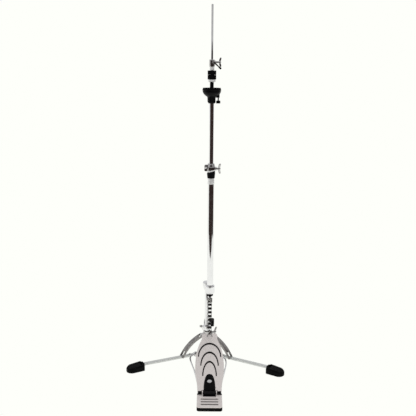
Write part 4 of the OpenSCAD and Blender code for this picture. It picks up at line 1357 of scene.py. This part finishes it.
def make_world():
    """White to the camera; in reflections a studio that is bright low down and grey overhead."""
    world = bpy.data.worlds.new("studio")
    bpy.context.scene.world = world
    world.use_nodes = True
    nodes = world.node_tree.nodes
    links = world.node_tree.links
    background = nodes["Background"]
    coords = nodes.new("ShaderNodeTexCoord")
    split = nodes.new("ShaderNodeSeparateXYZ")
    height = nodes.new("ShaderNodeMapRange")
    height.inputs["From Min"].default_value = 0.0
    height.inputs["From Max"].default_value = 0.4
    height.inputs["To Min"].default_value = 0.95
    height.inputs["To Max"].default_value = 0.64
    path = nodes.new("ShaderNodeLightPath")
    mix = nodes.new("ShaderNodeMix")
    mix.data_type = "RGBA"
    links.new(coords.outputs["Generated"], split.inputs["Vector"])
    links.new(split.outputs["Z"], height.inputs["Value"])
    links.new(path.outputs["Is Camera Ray"], mix.inputs["Factor"])
    links.new(height.outputs["Result"], mix.inputs["A"])
    mix.inputs["B"].default_value = (*BACKDROP, 1)
    links.new(mix.outputs["Result"], background.inputs["Color"])
    background.inputs["Strength"].default_value = 1.0


def make_cards():
    """Dark cards in front of the stand and at its sides, seen only in reflections."""
    black = Material("dark_card", Roughness=1.0, Specular_IOR_Level=0.0)
    black.shader.inputs["Base Color"].default_value = (0.034, 0.022, 0.020, 1)
    front = -0.78
    top = 1.09
    for name, centre, wide, spin in (
        ("front_card", (0.0, front, top / 2), 2.8, 0),
        ("left_card", (-1.4, front + 0.2, top / 2), 0.4, 90),
        ("right_card", (1.4, front + 0.65, top / 2), 1.3, 90),
    ):
        bpy.ops.mesh.primitive_plane_add(size=1)
        card = bpy.context.object
        card.name = name
        card.scale = (wide, top, 1)
        card.rotation_euler = (math.radians(90), 0, math.radians(spin))
        card.location = centre
        card.data.materials.append(black.mat)
        card.visible_camera = False
        card.visible_diffuse = False
        card.visible_shadow = False


def make_lights():
    for name, place, size, watts in (
        ("key", (-1.6, -2.2, 2.6), 1.6, 34),
        ("fill", (2.2, -1.6, 1.8), 1.8, 14),
        ("back", (0.3, 2.4, 2.2), 2.0, 14),
    ):
        light = bpy.data.lights.new(name, "AREA")
        light.size = size
        light.energy = watts
        obj = bpy.data.objects.new(name, light)
        obj.location = place
        obj.visible_glossy = False
        obj.rotation_euler = (Vector((0, 0, 0.45)) - Vector(place)).to_track_quat("-Z", "Y").to_euler()
        bpy.context.scene.collection.objects.link(obj)


def make_camera():
    """Camera a little above the cymbal seat, looking down at the base, rolled by half a degree."""
    height = 0.920
    distance = 1.8813
    pitch = math.radians(12.81)
    roll = math.radians(0.46)
    data = bpy.data.cameras.new("camera")
    data.sensor_width = 36
    data.lens = 55.33
    camera = bpy.data.objects.new("camera", data)
    camera.matrix_world = (
        Matrix.Translation((PULL.x - 0.0083, PULL.y - distance, height))
        @ Matrix.Rotation(math.pi / 2 - pitch, 4, "X")
        @ Matrix.Rotation(roll, 4, "Z")
    )
    bpy.context.scene.collection.objects.link(camera)
    bpy.context.scene.camera = camera


make_floor()
make_world()
make_cards()
make_lights()
make_camera()

for node, obj in frame["nodes"].items():
    paint(obj, SLOT_OF[node])

bpy.context.scene.view_settings.view_transform = "Standard"
